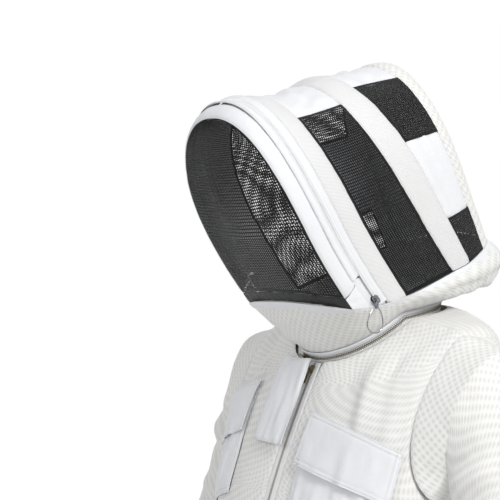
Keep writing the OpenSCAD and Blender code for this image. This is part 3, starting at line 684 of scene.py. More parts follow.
def stitches(name, lines, body_name, mat, pitch=3.4, length=2.6, half=0.40, proud=0.10):
    verts, faces = [], []
    ring = [(-1, 0), (0, 1), (1, 0), (0, -1)]
    for pts, nrm in lines:
        s = lengths(pts, 0)
        for at in np.arange(pitch / 2, s[-1] - pitch / 2, pitch):
            a, b = between(at - length / 2, s, pts), between(at + length / 2, s, pts)
            up = unit(between(at, s, nrm))
            way = unit(b - a)
            side = unit(np.cross(way, up))
            base = len(verts)
            verts.append(a - up * half * 0.6)
            for k in (0.22, 0.78):
                c = lerp(a, b, k) + up * proud
                for x, y in ring:
                    verts.append(c + side * x * half + up * y * half)
            verts.append(b - up * half * 0.6)
            for k in range(4):
                m = (k + 1) % 4
                faces.append([base, base + 1 + k, base + 1 + m, base + 1 + m])
                faces.append([base + 1 + k, base + 5 + k, base + 5 + m, base + 1 + m])
                faces.append([base + 9, base + 5 + m, base + 5 + k, base + 5 + k])
    me = bpy.data.meshes.new(name)
    me.from_pydata([tuple(v * MM) for v in verts], [], [list(dict.fromkeys(f)) for f in faces])
    me.materials.append(mat)
    me.polygons.foreach_set("use_smooth", [True] * len(me.polygons))
    me.uv_layers.new(name="UVMap")
    me.update()
    ob = bpy.data.objects.new(name, me)
    bpy.context.scene.collection.objects.link(ob)
    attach(ob, body_name)
    return ob


YARN = 0.22


def net(name, fn, body_name, nodes, pitch=3.4, open_share=0.60, border=3.0, mirror=False, fold=None):
    """Net of real thickness: a square hole in every cell, with walls, and plain cloth along its edges."""
    ii, jj = np.meshgrid(np.linspace(0, 1, 13), np.linspace(0, 1, 13))
    rough = fn(ii, jj, 0.0)
    wide, tall = lengths(rough, 1)[:, -1].mean(), lengths(rough, 0)[-1].mean()
    nu, nv = int(round(wide / pitch)), int(round(tall / pitch))
    ii, jj = np.meshgrid(np.linspace(0, 1, nu + 1), np.linspace(0, 1, nv + 1))
    p, q = fn(ii, jj, 0.9), fn(ii, jj, 2.2)
    if mirror:
        p, q = p * [-1, 1, 1], q * [-1, 1, 1]
    n = grid_normals(p, p - q, False)
    lu, lv = lengths(p, 1), lengths(p, 0)
    dist = {"l": lu, "r": lu[:, -1:] - lu, "b": lv, "t": lv[-1:] - lv}
    near = nearest(dist)
    if fold is not None:
        p = p + n * (fold(p, n, dist) * (1 - bell(near, 18)))[..., None]
    rows, cols = p.shape[:2]
    uv = np.stack([lu - lu[:, cols // 2:cols // 2 + 1], lv], -1) * MM
    idx = np.arange(rows * cols).reshape(rows, cols)
    quads = [idx[:-1, :-1], idx[:-1, 1:], idx[1:, 1:], idx[1:, :-1]]
    low = np.minimum(np.minimum(near[:-1, :-1], near[1:, 1:]), np.minimum(near[:-1, 1:], near[1:, :-1]))
    plain = low < border
    sel = ~plain
    flat_p, flat_n, flat_uv = p.reshape(-1, 3), n.reshape(-1, 3), uv.reshape(-1, 2)
    ring = [g[sel] for g in quads]
    k, count, total = (1 - open_share) / 2, int(sel.sum()), rows * cols
    pts, nrm, tex, hole = [flat_p], [flat_n], [flat_uv], []
    for c, (x, y) in enumerate(((k, k), (1 - k, k), (1 - k, 1 - k), (k, 1 - k))):
        weights = ((1 - x) * (1 - y), x * (1 - y), x * y, (1 - x) * y)
        pts.append(sum(w * flat_p[r] for w, r in zip(weights, ring)))
        nrm.append(sum(w * flat_n[r] for w, r in zip(weights, ring)))
        tex.append(sum(w * flat_uv[r] for w, r in zip(weights, ring)))
        hole.append(total + c * count + np.arange(count))
    pts, nrm, tex = np.concatenate(pts), unit(np.concatenate(nrm)), np.concatenate(tex)
    m = len(pts)
    top = [np.stack([ring[c], ring[(c + 1) % 4], hole[(c + 1) % 4], hole[c]], -1) for c in range(4)]
    top = np.concatenate(top + [np.stack([g[plain] for g in quads], -1)])
    walls = [np.stack([hole[c], hole[(c + 1) % 4], hole[(c + 1) % 4] + m, hole[c] + m], -1) for c in range(4)]
    edge = [idx[0, :], idx[:, -1], idx[-1, ::-1], idx[::-1, 0]]
    walls += [np.stack([e[1:], e[:-1], e[:-1] + m, e[1:] + m], -1) for e in edge]
    faces = np.concatenate([top, top[:, ::-1] + m] + walls)
    mid = (rows // 2, cols // 2)
    du, dv = p[mid[0], mid[1] + 1] - p[mid], p[mid[0] + 1, mid[1]] - p[mid]
    if np.cross(du, dv) @ n[mid] < 0:
        faces = faces[:, ::-1]
    ob = make_object(name + "_net", np.concatenate([pts + nrm * YARN, pts - nrm * YARN]), faces,
                     np.concatenate([tex, tex]), [NET], smooth=False)
    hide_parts(*nodes)
    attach(ob, body_name)
    PANELS[name] = dict(p=p, n=n, dist=dist, body=body_name, ob=ob)
    return ob


def tube(name, path, radius, mat, body_name, sides=12, closed=False):
    """Round wire along a path in mm."""
    path = np.asarray(path, float)
    way = np.roll(path, -1, 0) - np.roll(path, 1, 0) if closed else np.gradient(path, axis=0)
    way = unit(way)
    ref = np.array([0.21, 0.13, 0.97])
    side = unit(np.cross(way, ref))
    up = np.cross(side, way)
    ang = np.linspace(0, 2 * np.pi, sides, endpoint=False)[None, :, None]
    ring = path[:, None] + radius * (np.cos(ang) * side[:, None] + np.sin(ang) * up[:, None])
    n, idx = len(path), np.arange(len(path) * sides).reshape(len(path), sides)
    last = n if closed else n - 1
    ahead = np.roll(idx, -1, 0)
    faces = np.concatenate([np.stack([idx[k], np.roll(idx[k], -1), np.roll(ahead[k], -1), ahead[k]], -1)
                            for k in range(last)])
    ob = make_object(name, ring.reshape(-1, 3), faces, ring.reshape(-1, 3)[:, :2] * MM, [mat])
    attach(ob, body_name)
    return ob


# ---------------------------------------------------------------- zips
def resample(p, frames, pitch, offset=0.0):
    """Points and frames at equal distances along a path."""
    s = lengths(p, 0)
    at = np.arange(offset, s[-1], pitch)
    return between(at, s, p), [unit(between(at, s, f)) for f in frames]


# A tooth in three sections: place along it, half width, half height.
TOOTH = [(-0.95, 0.42, 0.75), (0.75, 0.66, 1.25), (2.9, 0.60, 1.05)]


def teeth(name, p, side, out, sign, pitch, offset, mat):
    """One row of zip teeth: blocks that narrow towards a head past the middle line."""
    q, (sd, ot) = resample(p, (side, out), pitch, offset)
    way = unit(np.cross(sd, ot))
    m, rows = len(q), len(TOOTH)
    verts = np.zeros((m, rows * 4, 3))
    for k, (x, hw, hh) in enumerate(TOOTH):
        for c, (y, z) in enumerate(((-hw, -hh), (hw, -hh), (hw, hh), (-hw, hh))):
            verts[:, k * 4 + c] = q + sd * (x * sign) + way * y + ot * z
    faces = []
    for k in range(rows - 1):
        for c in range(4):
            e = (c + 1) % 4
            faces.append([k * 4 + c, k * 4 + e, (k + 1) * 4 + e, (k + 1) * 4 + c])
    faces.append([3, 2, 1, 0])
    faces.append([rows * 4 - 4, rows * 4 - 3, rows * 4 - 2, rows * 4 - 1])
    faces = np.array(faces)
    if sign < 0:
        faces = faces[:, ::-1]
    allf = (faces[None] + (np.arange(m) * rows * 4)[:, None, None]).reshape(-1, 4)
    v = verts.reshape(-1, 3)
    ob = make_object(name, v, allf, v[:, :2] * MM, [mat], smooth=False)
    bevel = ob.modifiers.new("edges", "BEVEL")
    bevel.width, bevel.segments = 0.00018, 1
    return ob


def coil_teeth(name, p, side, out, sign, pitch, offset):
    """Nylon coil: one loop of filament per pitch, flattened over the tape's edge."""
    s = lengths(p, 0)
    per = 8
    at = np.linspace(0, s[-1], int(s[-1] / pitch) * per)
    q, sd, ot = between(at, s, p), unit(between(at, s, side)), unit(between(at, s, out))
    ang = at / pitch * 2 * np.pi + offset
    path = q + sd * (sign * (1.35 - 1.75 * np.cos(ang)))[:, None] + ot * (1.05 * np.sin(ang))[:, None]
    way = unit(np.gradient(path, axis=0))
    a = unit(np.cross(way, unit(np.cross(sd, ot))))
    b = np.cross(way, a)
    r, sides = 0.36, 5
    turn = np.linspace(0, 2 * np.pi, sides, endpoint=False)[None, :, None]
    ring = path[:, None] + r * (np.cos(turn) * a[:, None] + np.sin(turn) * b[:, None])
    idx = np.arange(len(path) * sides).reshape(len(path), sides)
    nxt = np.roll(idx, -1, 1)
    faces = np.concatenate([np.stack([idx[:-1, k], nxt[:-1, k], nxt[1:, k], idx[1:, k]], -1)
                            for k in range(sides)])
    v = ring.reshape(-1, 3)
    return make_object(name, v, faces, v[:, :2] * MM, [COIL])


def tape(name, p, side, out, sign, inner, outer, thick=0.9, cell=4.0):
    """Woven tape on one side of a zip, with a raised cord along its inner edge."""
    q, (sd, ot) = resample(p, (side, out), cell)
    if len(q) < 2 or np.linalg.norm(q[-1] - p[-1]) > 0.05:
        q = np.concatenate([q, p[-1:]])
        sd, ot = np.concatenate([sd, side[-1:]]), np.concatenate([ot, out[-1:]])
    cross_x = np.array([inner, inner + 0.5, inner + 1.3, inner + 1.8,
                        lerp(inner, outer, 0.45), lerp(inner, outer, 0.75), outer])
    top = np.array([0.3, 1.0, 1.0, 0.55, 0.45, 0.45, 0.35])
    prof = [(x, z) for x, z in zip(cross_x, top)] + [(x, -z) for x, z in zip(cross_x[::-1], top[::-1])]
    m, k = len(q), len(prof)
    verts = np.zeros((m, k, 3))
    wave_h = 0.22 * noise(q, 11.0, 5.0)
    for c, (x, z) in enumerate(prof):
        lift = wave_h * min(1.0, abs(x) / 6)
        verts[:, c] = q + sd * (x * sign) + ot * (z * thick + lift)[:, None]
    s = lengths(q, 0)
    uv = np.stack(np.broadcast_arrays(np.array(prof)[:, 0], s[:, None]), -1) * MM
    idx = np.arange(m * k).reshape(m, k)
    nxt = np.roll(idx, -1, 1)
    faces = np.concatenate([np.stack([idx[:-1, c], idx[1:, c], nxt[1:, c], nxt[:-1, c]], -1)
                            for c in range(k)])
    caps = []
    for c in range(k // 2 - 1):
        caps.append([idx[0, c], idx[0, c + 1], idx[0, k - 2 - c], idx[0, k - 1 - c]])
        caps.append([idx[-1, c + 1], idx[-1, c], idx[-1, k - 1 - c], idx[-1, k - 2 - c]])
    faces = np.concatenate([faces, np.array(caps)])
    if sign < 0:
        faces = faces[:, ::-1]
    return make_object(name, verts.reshape(-1, 3), faces, uv.reshape(-1, 2), [TAPE])


def front_path():
    deg = np.linspace(19.75, -3.6, 240)
    p = stack(0 * deg, -(ZIP_F + (ZIP_R - 1.6) * cosd(deg)), ZIP_Z + (ZIP_R - 1.6) * sind(deg))
    return p, stack(0 * deg + 1, 0 * deg, 0 * deg), stack(0 * deg, -cosd(deg), sind(deg))


def arch_path(u0, u1, count=400):
    u = np.linspace(u0, u1, count)
    p = hood(u, np.ones_like(u), 1.5)
    along = unit(hood(u + 0.002, np.ones_like(u), 1.5) - hood(u - 0.002, np.ones_like(u), 1.5))
    out = unit(p - hood(u, np.ones_like(u), 6.0))
    side = unit(np.cross(along, out))
    side = side * np.sign(side[:, 1:2])
    out2 = np.cross(side, along)
    out2 = unit(out2 * np.sign((out2 * out).sum(-1, keepdims=True)))
    return p, side, out2


WELT_FLAT, WELT_LOW = 7.2, 1.25


def welt(name, path, sign, inner, reach, body_name, mat, crown):
    """Folded cloth edge sewn over a tape: flat where the slider passes, crowned beyond."""
    at = np.linspace(0, 1, len(path[0]))

    def fn(i, j, d):
        far = np.interp(i, at, reach)
        x = lerp(inner, far, j)
        over = np.clip((x - WELT_FLAT) / np.maximum(far - WELT_FLAT, 0.5), 0, 1)
        z = lerp(0.9, WELT_LOW, np.clip(j * 3, 0, 1)) + crown * np.sin(np.pi * over ** 0.8)
        q, sd, ot = (between(i, at, line) for line in path)
        return q + sd * (x * sign)[..., None] + ot * (z - d)[..., None]

    ob = panel(name, fn, body_name, [], cell=3.0, t=0.8, mat=mat, seams="",
               fold=lambda p, n, dist: 0.35 * noise(p, 9, 3.0) * np.clip(dist["b"] / 4, 0, 1))
    sew(name, "t", 2.6)
    sew(name, "b", 1.3)
    return ob


def zip_side(name, node, path, sign, body_name, mat, pitch, offset, outer, coil=False):
    p, side, out = path
    band = tape(f"{name}_tape", p, side, out, sign, 0.35, outer)
    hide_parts(node)
    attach(band, body_name)
    row = (coil_teeth(f"{name}_coil", p, side, out, sign, pitch, offset) if coil
           else teeth(f"{name}_teeth", p, side, out, sign, pitch, offset, mat))
    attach(row, body_name)
    return band


# ---------------------------------------------------------------- folds of the cloth
# Long folds: height, then the start and the end on the left side, then the width.
TRUNK_FOLDS = ((6.4, (128, -78, -52), (150, -128, -215), 15),
               (-4.2, (158, -62, -60), (176, -98, -200), 12),
               (4.0, (190, -40, -66), (206, -62, -160), 12),
               (3.0, (205, -60, -250), (120, -165, -360), 17),
               (3.6, (225, 10, -290), (150, 120, -400), 20),
               (3.8, (215, -20, -420), (110, -158, -520), 18),
               (3.4, (60, 120, -60), (120, 128, -250), 20),
               (3.2, (200, 70, -120), (90, 140, -330), 22))
# The same for a sleeve.
SLEEVE_FOLDS = ((7.5, (240, -62, -262), (356, -30, -196), 15),
                (-5.0, (244, -60, -292), (362, -36, -228), 13),
                (-3.4, (244, -66, -238), (350, -34, -170), 13),
                (4.2, (262, 84, -250), (352, 72, -190), 20),
                (4.2, (262, -52, -330), (372, -34, -296), 14),
                (3.4, (262, 62, -330), (372, 84, -300), 14))


def drag_lines(h, p, sx, lines):
    """h with the long folds of one side on it: sx is 1 on the left and -1 on the right."""
    for size, a, b, width in lines:
        h = h + size * bump_at(p, (sx * a[0], *a[1:]), (sx * b[0], *b[1:]), width)
    return h


def fold_trunk(p, n, dist):
    z, front = p[..., 2], np.clip(-p[..., 1] / 60, -1, 1)
    low = np.clip((-z - 220) / 260, 0, 1)
    q = p + stack(0.35 * z * np.sign(p[..., 0]), 0, 0)
    h = noise(q, (46, 46, 280), 1.7) * lerp(2.6, 5.4, low)
    h = h + 2.2 * noise(q, (62, 62, 110), 5.2) + 0.6 * noise(p, (19, 19, 30), 8.8)
    waist = bell(z + 450, 55)
    h = h + waist * (3.0 * crease(p, (26, 26, 30), 2.9) - 1.8)
    back = np.clip(-front, 0, 1)
    h = h + waist * back * 2.4 * noise(p, (11, 11, 400), 6.3)
    for sx in (-1, 1):
        h = drag_lines(h, p, sx, TRUNK_FOLDS)
    return h * np.clip((250 - z) / 200, 0, 1)


def fold_sleeve(p, n, dist):
    z, sx = p[..., 2], np.sign(p[..., 0].mean())
    elbow = bell(z + 390, 75)
    wrist = bell(z + 640, 46)
    slant = p @ np.array([[1, 0, 0.25 * sx], [0, 1, -0.35], [0, 0, 1]])
    h = 3.8 * noise(slant, (60, 60, 38), 2.2) * (0.6 + elbow)
    h = h + 3.4 * elbow * crease(slant, (70, 60, 24), 7.4)
    h = h + 3.6 * wrist * (crease(p, (60, 60, 15), 4.4) - 0.3)
    h = h + 1.5 * noise(p, (28, 28, 28), 6.1) + 0.5 * noise(p, 12, 3.9)
    h = drag_lines(h, p, sx, SLEEVE_FOLDS)
    start = bell(dist["b"], 24)
    return h * (1 - 0.7 * start)


def fold_leg(p, n, dist):
    z = p[..., 2]
    knee = bell(z + 1040, 90)
    ankle = bell(z + 1350, 60)
    crotch = bell(z + 745, 60)
    h = 3.8 * noise(p, (48, 48, 260), 3.1)
    h = h + 3.0 * knee * crease(p + stack(0, 0, 0.25 * p[..., 1]), (80, 80, 26), 5.5)
    h = h + 4.2 * ankle * (crease(p, (80, 80, 21), 1.2) - 0.3)
    h = h + 2.6 * crotch * crease(p + stack(0, 0, 0.7 * np.abs(p[..., 0])), (120, 120, 26), 8.2)
    h = h + 1.2 * noise(p, 24, 6.6)
    inner = np.clip((np.abs(p[..., 0]) - 8) / 26, 0, 1)
    return h * inner * np.clip(dist["b"] / 30, 0.15, 1)


def fold_cuff(p, n, dist):
    centre = p.mean(axis=(0, 1))
    ang = np.arctan2(p[..., 1] - centre[1], p[..., 0] - centre[0])
    mid = np.sin(np.pi * share(dist, "b", "t"))
    return 0.9 * mid * np.sin(ang * 34 + 2 * noise(p, 30, 2.0)) + 1.2 * mid * noise(p, (9, 9, 30), 4.0)


def fold_elastic(p, n, dist):
    mid = np.sin(np.pi * share(dist, "b", "t"))
    return mid * (1.3 * np.sin(p[..., 0] * 0.85 + 2.5 * noise(p, 30, 2.0)) + 1.0)


RING_HANGS = (138.0, -96.0, -28.0)


def near_ring(p):
    """1 where the slider's ring hangs over the collar, which stays flat there."""
    return bell(np.linalg.norm(p - np.array(RING_HANGS), axis=-1), 30)


def fold_collar(p, n, dist):
    s = share(dist, "b", "t")
    mid = np.sin(np.pi * s) ** 0.8
    back = np.clip((p[..., 1] - 10) / 90, 0, 1)
    h = mid * (1.8 * noise(p, (30, 30, 16), 2.6) + 0.5 * noise(p, 12, 4.2))
    roll = np.sin(2 * np.pi * (2.4 * s + 0.35 * noise(p, (60, 60, 200), 1.4)) + 0.6)
    h = h + back * mid * (4.6 * roll + 3.0 * noise(p, (22, 26, 14), 7.0))
    ring = near_ring(p)
    return h * (1 - ring) - 3.0 * ring * mid


def band_roll(p, n, dist):
    """Bands are padded: they crown between their two long seams over the sewn-in wire."""
    k = share(dist, "b", "t")
    return 2.6 * np.sin(np.pi * k) ** 0.7 + 0.4 * noise(p, (16, 16, 16), 1.1)


def fold_top(p, n, dist):
    """Spare cloth between the hoops lies in loose ripples that run across the head."""
    k = share(dist, "b", "t")
    mid = np.sin(np.pi * k)
    q = p + stack(0, 0.35 * p[..., 0], 0)
    return mid * (4.4 * noise(q, (46, 15, 22), 3.7) + 2.0 * noise(q, (24, 9, 14), 8.1) - 2.6)


def fold_side(p, n, dist):
    """Darts fan down and back over the plain side panel."""
    mid = np.sin(np.pi * share(dist, "b", "t"))
    q = p + stack(0, 0.9 * p[..., 2], 0)
    return mid * (3.2 * noise(q, (40, 13, 90), 5.9) + 0.7 * noise(p, 13, 2.0))


def fold_net(p, n, dist):
    return 1.6 * noise(p, (40, 34, 50), 6.0) + 0.8 * noise(p, (18, 18, 26), 2.4)


def fold_veil(p, n, dist):
    side = np.clip((np.abs(p[..., 0]) - 60) / 60, 0, 1)
    return 1.6 * noise(p, (30, 40, 90), 3.0) + side * 2.4 * noise(p, (12, 16, 130), 6.5)


def fold_back(p, n, dist):
    return 3.4 * noise(p, (26, 30, 120), 4.3) + 1.2 * noise(p, (14, 14, 24), 2.8)


def fold_pocket(p, n, dist):
    near = nearest(dist)
    k = share(dist, "l", "r")
    tall = noise(p, (15, 22, 90), 2.0)
    return (1 - bell(near, 14)) * (3.4 * tall + 1.2 * noise(p, (14, 14, 20), 5.0)
                                   - 2.2 * bell(k - 0.46, 0.03))


def fold_flap(p, n, dist):
    low = share(dist, "b", "t")
    k = share(dist, "l", "r")
    mark = 1.5 * bell(k - 0.56, 0.035) - 1.2 * bell(k - 0.49, 0.03)
    return low * (1.8 + 2.6 * noise(p, (15, 22, 60), 7.7) + mark) + 0.45 * noise(p, (10, 10, 18), 1.0)


def fold_throat(p, n, dist):
    free = 1 - bell(dist["l"], 18)
    return free * (2.6 * noise(p, (11, 16, 110), 3.0) + 1.0 * noise(p, (20, 20, 40), 5.0) + 1.0)


# ---------------------------------------------------------------- suit
def neck_row(ph):
    return lerp(0.26, 0.36, sind(ph) ** 2)


PANEL_EDGE, NECK_UP = 12.8, 0.12


def front_fn(top):
    def fn(i, j, d):
        w = lerp(top, 8, j)
        ph = lerp(armhole(w) + 0.03, angle_at(PANEL_EDGE, w), i)
        return body(ph, w + neck_row(ph) * np.maximum(0, 1 - w / 2), d)
    return fn


def back_fn(top, bottom):
    def fn(i, j, d):
        w = lerp(top, bottom, j)
        a = armhole(w) + 0.03
        ph = -lerp(a, 180 - a, i)
        return body(ph, w + neck_row(ph) * np.maximum(0, 1 - w / 2), d)
    return fn


def sides(word):
    return ((word + "_left", False), (word + "_right", True))


for name, mirror in sides("front_panel"):
    panel(name, front_fn(0 if mirror else -NECK_UP), "suit", [name], cell=5.5, mirror=mirror,
          fold=fold_trunk, pins="rbt")
    sew(name, "r", 2.6)
    sew(name, "l", 3.2, 0.24, 1.0)
panel("back_panel", back_fn(-NECK_UP, 5.745), "suit", ["back_panel"], cell=7, fold=fold_trunk, pins="bt")
panel("waist_elastic", back_fn(5.75, 6.1), "suit", ["waist_elastic"], cell=3.2, fold=fold_elastic, mat=COTTON)
panel("seat_panel", back_fn(6.105, 8), "suit", ["seat_panel"], cell=8, fold=fold_trunk,
      pins="bt")
sew_all("waist_elastic", "b", 8.0, 20.0, 32.0)

SLEEVE_START, SLEEVE_END = -0.07, 7.4
for name, mirror in sides("sleeve"):
    tail = name[len("sleeve"):]
    panel(name, lambda i, j, d: sleeve(-90 + 360 * i, lerp(SLEEVE_START, SLEEVE_END, j), d), "suit",
          ["sleeve_front" + tail, "sleeve_back" + tail], cell=6, mirror=mirror, closed=True, seams="bt",
          fold=fold_sleeve)
    sew(name, "b", 3.0)
for name, mirror in sides("cuff"):
    panel(name, lambda i, j, d: sleeve(-90 + 360 * i, lerp(SLEEVE_END + 0.012, 8, j), d), "suit", [name],
          cell=2.6, mirror=mirror, closed=True, seams="bt", fold=fold_cuff, seam_depth=0.8)
LEG_END = 6.2
for part, sign in (("leg_front", 1), ("leg_back", -1)):
    for name, mirror in sides(part):
        panel(name, lambda i, j, d, s=sign: leg_under_hem(s * lerp(0.04, 179.96, i), LEG_END * j, d),
              "suit", [name], cell=9, mirror=mirror, fold=fold_leg, pins="b")
for name, mirror in sides("ankle_band"):
    panel(name, lambda i, j, d: leg(360 * i, lerp(LEG_END + 0.015, 7, j), d), "suit", [name],
          cell=3.0, mirror=mirror, closed=True, seams="bt", fold=fold_cuff, seam_depth=0.8)

# ---------------------------------------------------------------- pockets and flaps
BAG_CLEAR, BAG_T = 0.6, 4.6
FLAP_CLEAR = BAG_CLEAR + BAG_T + 0.9


def corners(c):
    c = np.array(c, float)

    def at(i, j):
        i, j = i[..., None], j[..., None]
        q = lerp(lerp(c[0], c[1], i), lerp(c[2], c[3], i), j)
        return q[..., 0], q[..., 1]
    return at


def lifted(c, lift_fn):
    at = corners(c)

    def fn(i, j, d):
        ph, v = at(i, j)
        return body(ph, v, d - lift_fn(i, j))
    return fn


def bag_lift(i, j):
    edge = np.minimum(np.minimum(i, 1 - i), np.minimum(j, 1 - j))
    return 2.4 + (BAG_CLEAR + BAG_T - 2.4) * (1 - bell(edge, 0.09)) * (1 - 0.25 * np.abs(2 * i - 1) ** 2)


def flap_lift(i, j):
    return FLAP_CLEAR + COTTON_T + 0.5 * np.sin(np.pi * i) * j


def bag_thick(i, j, dist):
    return np.maximum(1.0, bag_lift(i, j) - 0.8)


for name, mirror, c in (("chest_pocket_left", False, POCKET_L), ("chest_pocket_right", True, POCKET_R)):
    panel(name, lifted(c, bag_lift), "suit", [name], cell=4, mirror=mirror, fold=fold_pocket, mat=COTTON,
          thick=bag_thick, seam_depth=0.7,
          topstitch=(2.6, 8.0))
    sew_all(name, "lrt", 2.6, 8.0)
for name, mirror, c in (("chest_flap_left", False, FLAP_L), ("chest_flap_right", True, FLAP_R)):
    panel(name, lifted(c, flap_lift), "flap_" + name[11:], [name], cell=4, t=COTTON_T, mirror=mirror,
          fold=fold_flap, mat=COTTON, seam_depth=0.4, topstitch=(2.4, 8.0))
    sew_all(name, "lrtb", 2.4, 8.0)


def throat_fn(i, j, d):
    x, v = lerp(80, -8, i), lerp(0.62, 3.6, j)
    a = angle_at(np.maximum(np.abs(x), 1), v)
    return body(np.where(x < 0, 180 - a, a), v, d - lerp(3.0, 11.5, i) - COTTON_T)


panel("throat_flap", throat_fn, "throat", ["throat_flap"], cell=4, t=COTTON_T, mirror=True, mat=COTTON,
      fold=fold_throat, topstitch=(2.4,), seam_depth=0.4)
sew_all("throat_flap", "lrbt", 2.4)

# ---------------------------------------------------------------- hood
FOOT, NET_UNDER = 0.0012, 0.02


def patch(u0, u1, v0, v1):
    return lambda i, j, d: hood(lerp(u0, u1, i), lerp(v0, v1, j), d)


def collar_fn(i, j, d):
    return collar(lerp(-1, 1, i), lerp(0, 1.0, j), d)


panel("neck_facing", lambda i, j, d: body(lerp(70, 174, i), lerp(0.03, 0.36, j), d + 7.5), "suit", [], cell=4,
      t=1.0, seams="")
panel("base_binding", lambda i, j, d: collar(lerp(-1, 1, i), lerp(0.86, 1.0, j), d - 1.3), "hood", [], cell=4,
      closed=True, t=1.0, seams="b", seam_depth=0.9, mat=COTTON,
      fold=lambda p, n, dist: 0.8 * noise(p, 22, 3.0) - 3.0 * near_ring(p))
panel("hood_collar", collar_fn, "hood", ["hood_collar"], cell=4.5, closed=True, seams="bt", fold=fold_collar,
      mat=CLOTH, seam_depth=1.0)
sew("hood_collar", "b", 2.6)
sew("hood_collar", "t", 4.0)


def band_cut(v):
    return 0.032 + 0.046 * v


def band_front_fn(i, j, d):
    v = lerp(0.0, 0.66, j)
    return hood(lerp(band_cut(v), 1 - band_cut(v), i), v, d)


def corner_fn(i, j, d):
    v = lerp(0.0, 0.66, j)
    return hood(lerp(FOOT, band_cut(v) - 0.003, i), v, d)


panel("band_front", band_front_fn, "veil", ["band_front"], cell=5, fold=band_roll, mat=COTTON,
      seam_depth=1.0)
sew_all("band_front", "bt", 2.6)
for name, mirror in sides("band_corner"):
    panel(name, corner_fn, "hood", [name], cell=3, mirror=mirror, mat=COTTON,
          seam_depth=0.6)
for name, mirror in sides("zip_guard"):
    panel(name, patch(FOOT, band_cut(1.0) - 0.004, 0.66, 1.30), "hood", [], cell=3, t=1.0,
          mirror=mirror, mat=COTTON, seams="",
          fold=lambda p, n, dist: np.full(p.shape[:2], -4.2))
panel("band_front_rear", patch(FOOT, 1 - FOOT, 1.34, 2), "hood", ["band_front_rear"], cell=5,
      fold=band_roll, mat=KNIT, seam_depth=1.0)
sew_all("band_front_rear", "bt", 2.6)
for name, v0 in (("band_middle", 3), ("band_rear", 5)):
    panel(name, patch(FOOT, 1 - FOOT, v0, v0 + 1), "hood", [name], cell=5, fold=band_roll,
          mat=KNIT if v0 == 3 else CLOTH, seam_depth=1.0)
    sew_all(name, "bt", 2.6)
WINDOW_TOP = 0.375
for name, mirror in sides("window_side"):
    net(name, patch(FOOT, WINDOW_TOP + 0.002, 2 - NET_UNDER, 3 + NET_UNDER), "hood", [name],
        mirror=mirror, fold=fold_net)
panel("top_panel_front", patch(WINDOW_TOP + 0.001, 1 - WINDOW_TOP - 0.001, 2, 3), "hood",
      ["top_panel_front"], cell=4, fold=fold_top, mat=COTTON)
UPPER, LOWER = (0.27, 0.40), (FOOT, 0.115)
for name, mirror in sides("window_upper"):
    net(name, patch(UPPER[0] - 0.001, UPPER[1] + 0.001, 4 - NET_UNDER, 5 + NET_UNDER), "hood", [name],
        mirror=mirror, fold=fold_net)
for name, mirror in sides("window_lower"):
    net(name, patch(LOWER[0], LOWER[1] + 0.001, 4 - NET_UNDER, 5 + NET_UNDER), "hood", [name],
        mirror=mirror, fold=fold_net, border=2.5)
for name, mirror in sides("side_panel"):
    panel(name, patch(LOWER[1] + 0.0005, UPPER[0] - 0.0005, 4, 5), "hood", [name], cell=4,
          mirror=mirror, fold=fold_side, mat=COTTON)
panel("top_panel_rear", patch(UPPER[1] + 0.0005, 1 - UPPER[1] - 0.0005, 4, 5), "hood",
      ["top_panel_rear"], cell=4, fold=fold_top, mat=COTTON)
panel("hood_back_panel", lambda i, j, d: across(lerp(0.002, 0.488, j), i, 5.985, d, -26, 5, 1.6), "hood",
      ["hood_back_panel"], cell=5, fold=fold_back)
net("face_veil", lambda i, j, d: across(lerp(0.034, 0.488, j), i, 0.0, d, 25, 18), "veil", ["face_veil"],
    fold=fold_veil, border=3.0, open_share=0.64)
panel("veil_hem", lambda i, j, d: across(lerp(0.0012, 0.0315, j), i, 0.0, d, 25, 18), "hood", ["veil_hem"],
      cell=3, t=2.0, fold=lambda p, n, dist: 0.8 * noise(p, 9, 2.0), mat=BLACK,
      seam_depth=0.3)

# ---------------------------------------------------------------- zips and fittings
FRONT = front_path()
for name, sign, offset in (("front_zip_left", 1, 0.7), ("front_zip_right", -1, 2.15)):
    zip_side(name, name, FRONT, sign, "suit", BRASS, 2.9, offset, 13.2)
    STITCH_LINES.setdefault("suit", []).append((FRONT[0] + FRONT[1] * sign * 6.5 + FRONT[2] * 0.5, FRONT[2]))
RING = collar_frame(np.linspace(90, 450, 500))
zip_side("collar_zip_lower", "collar_zip_lower", RING, -1, "suit", BRASS, 2.9, 0.7, 8.6)
zip_side("collar_zip_upper", "collar_zip_upper", RING, 1, "hood", BRASS, 2.9, 2.15, 8.6)
welt("collar_welt_upper", RING, 1, 3.3, np.full(len(RING[0]), 10.4), "hood", COTTON, 1.0)
welt("collar_welt_lower", RING, -1, 3.3, np.full(len(RING[0]), 11.5), "suit", CLOTH, 0.6)
ARCH_CUT = 0.081
for name, u0, edge_row, sign, body_name, offset in (("arch_zip_front", ARCH_CUT, 0.66, -1, "veil", 0.0),
                                                    ("arch_zip_rear", 0.0, 1.34, 1, "hood", math.pi)):
    path = arch_path(u0, 1 - u0)
    u = np.linspace(u0, 1 - u0, len(path[0]))
    reach = np.linalg.norm(hood(u, np.full_like(u, edge_row), 1.5) - path[0], axis=-1)
    zip_side(name, name, path, sign, body_name, COIL, 1.7, offset, 12.0, True)
    welt(name.replace("zip", "welt"), path, sign, 2.5, reach + 1.2, body_name, COTTON, 1.3)

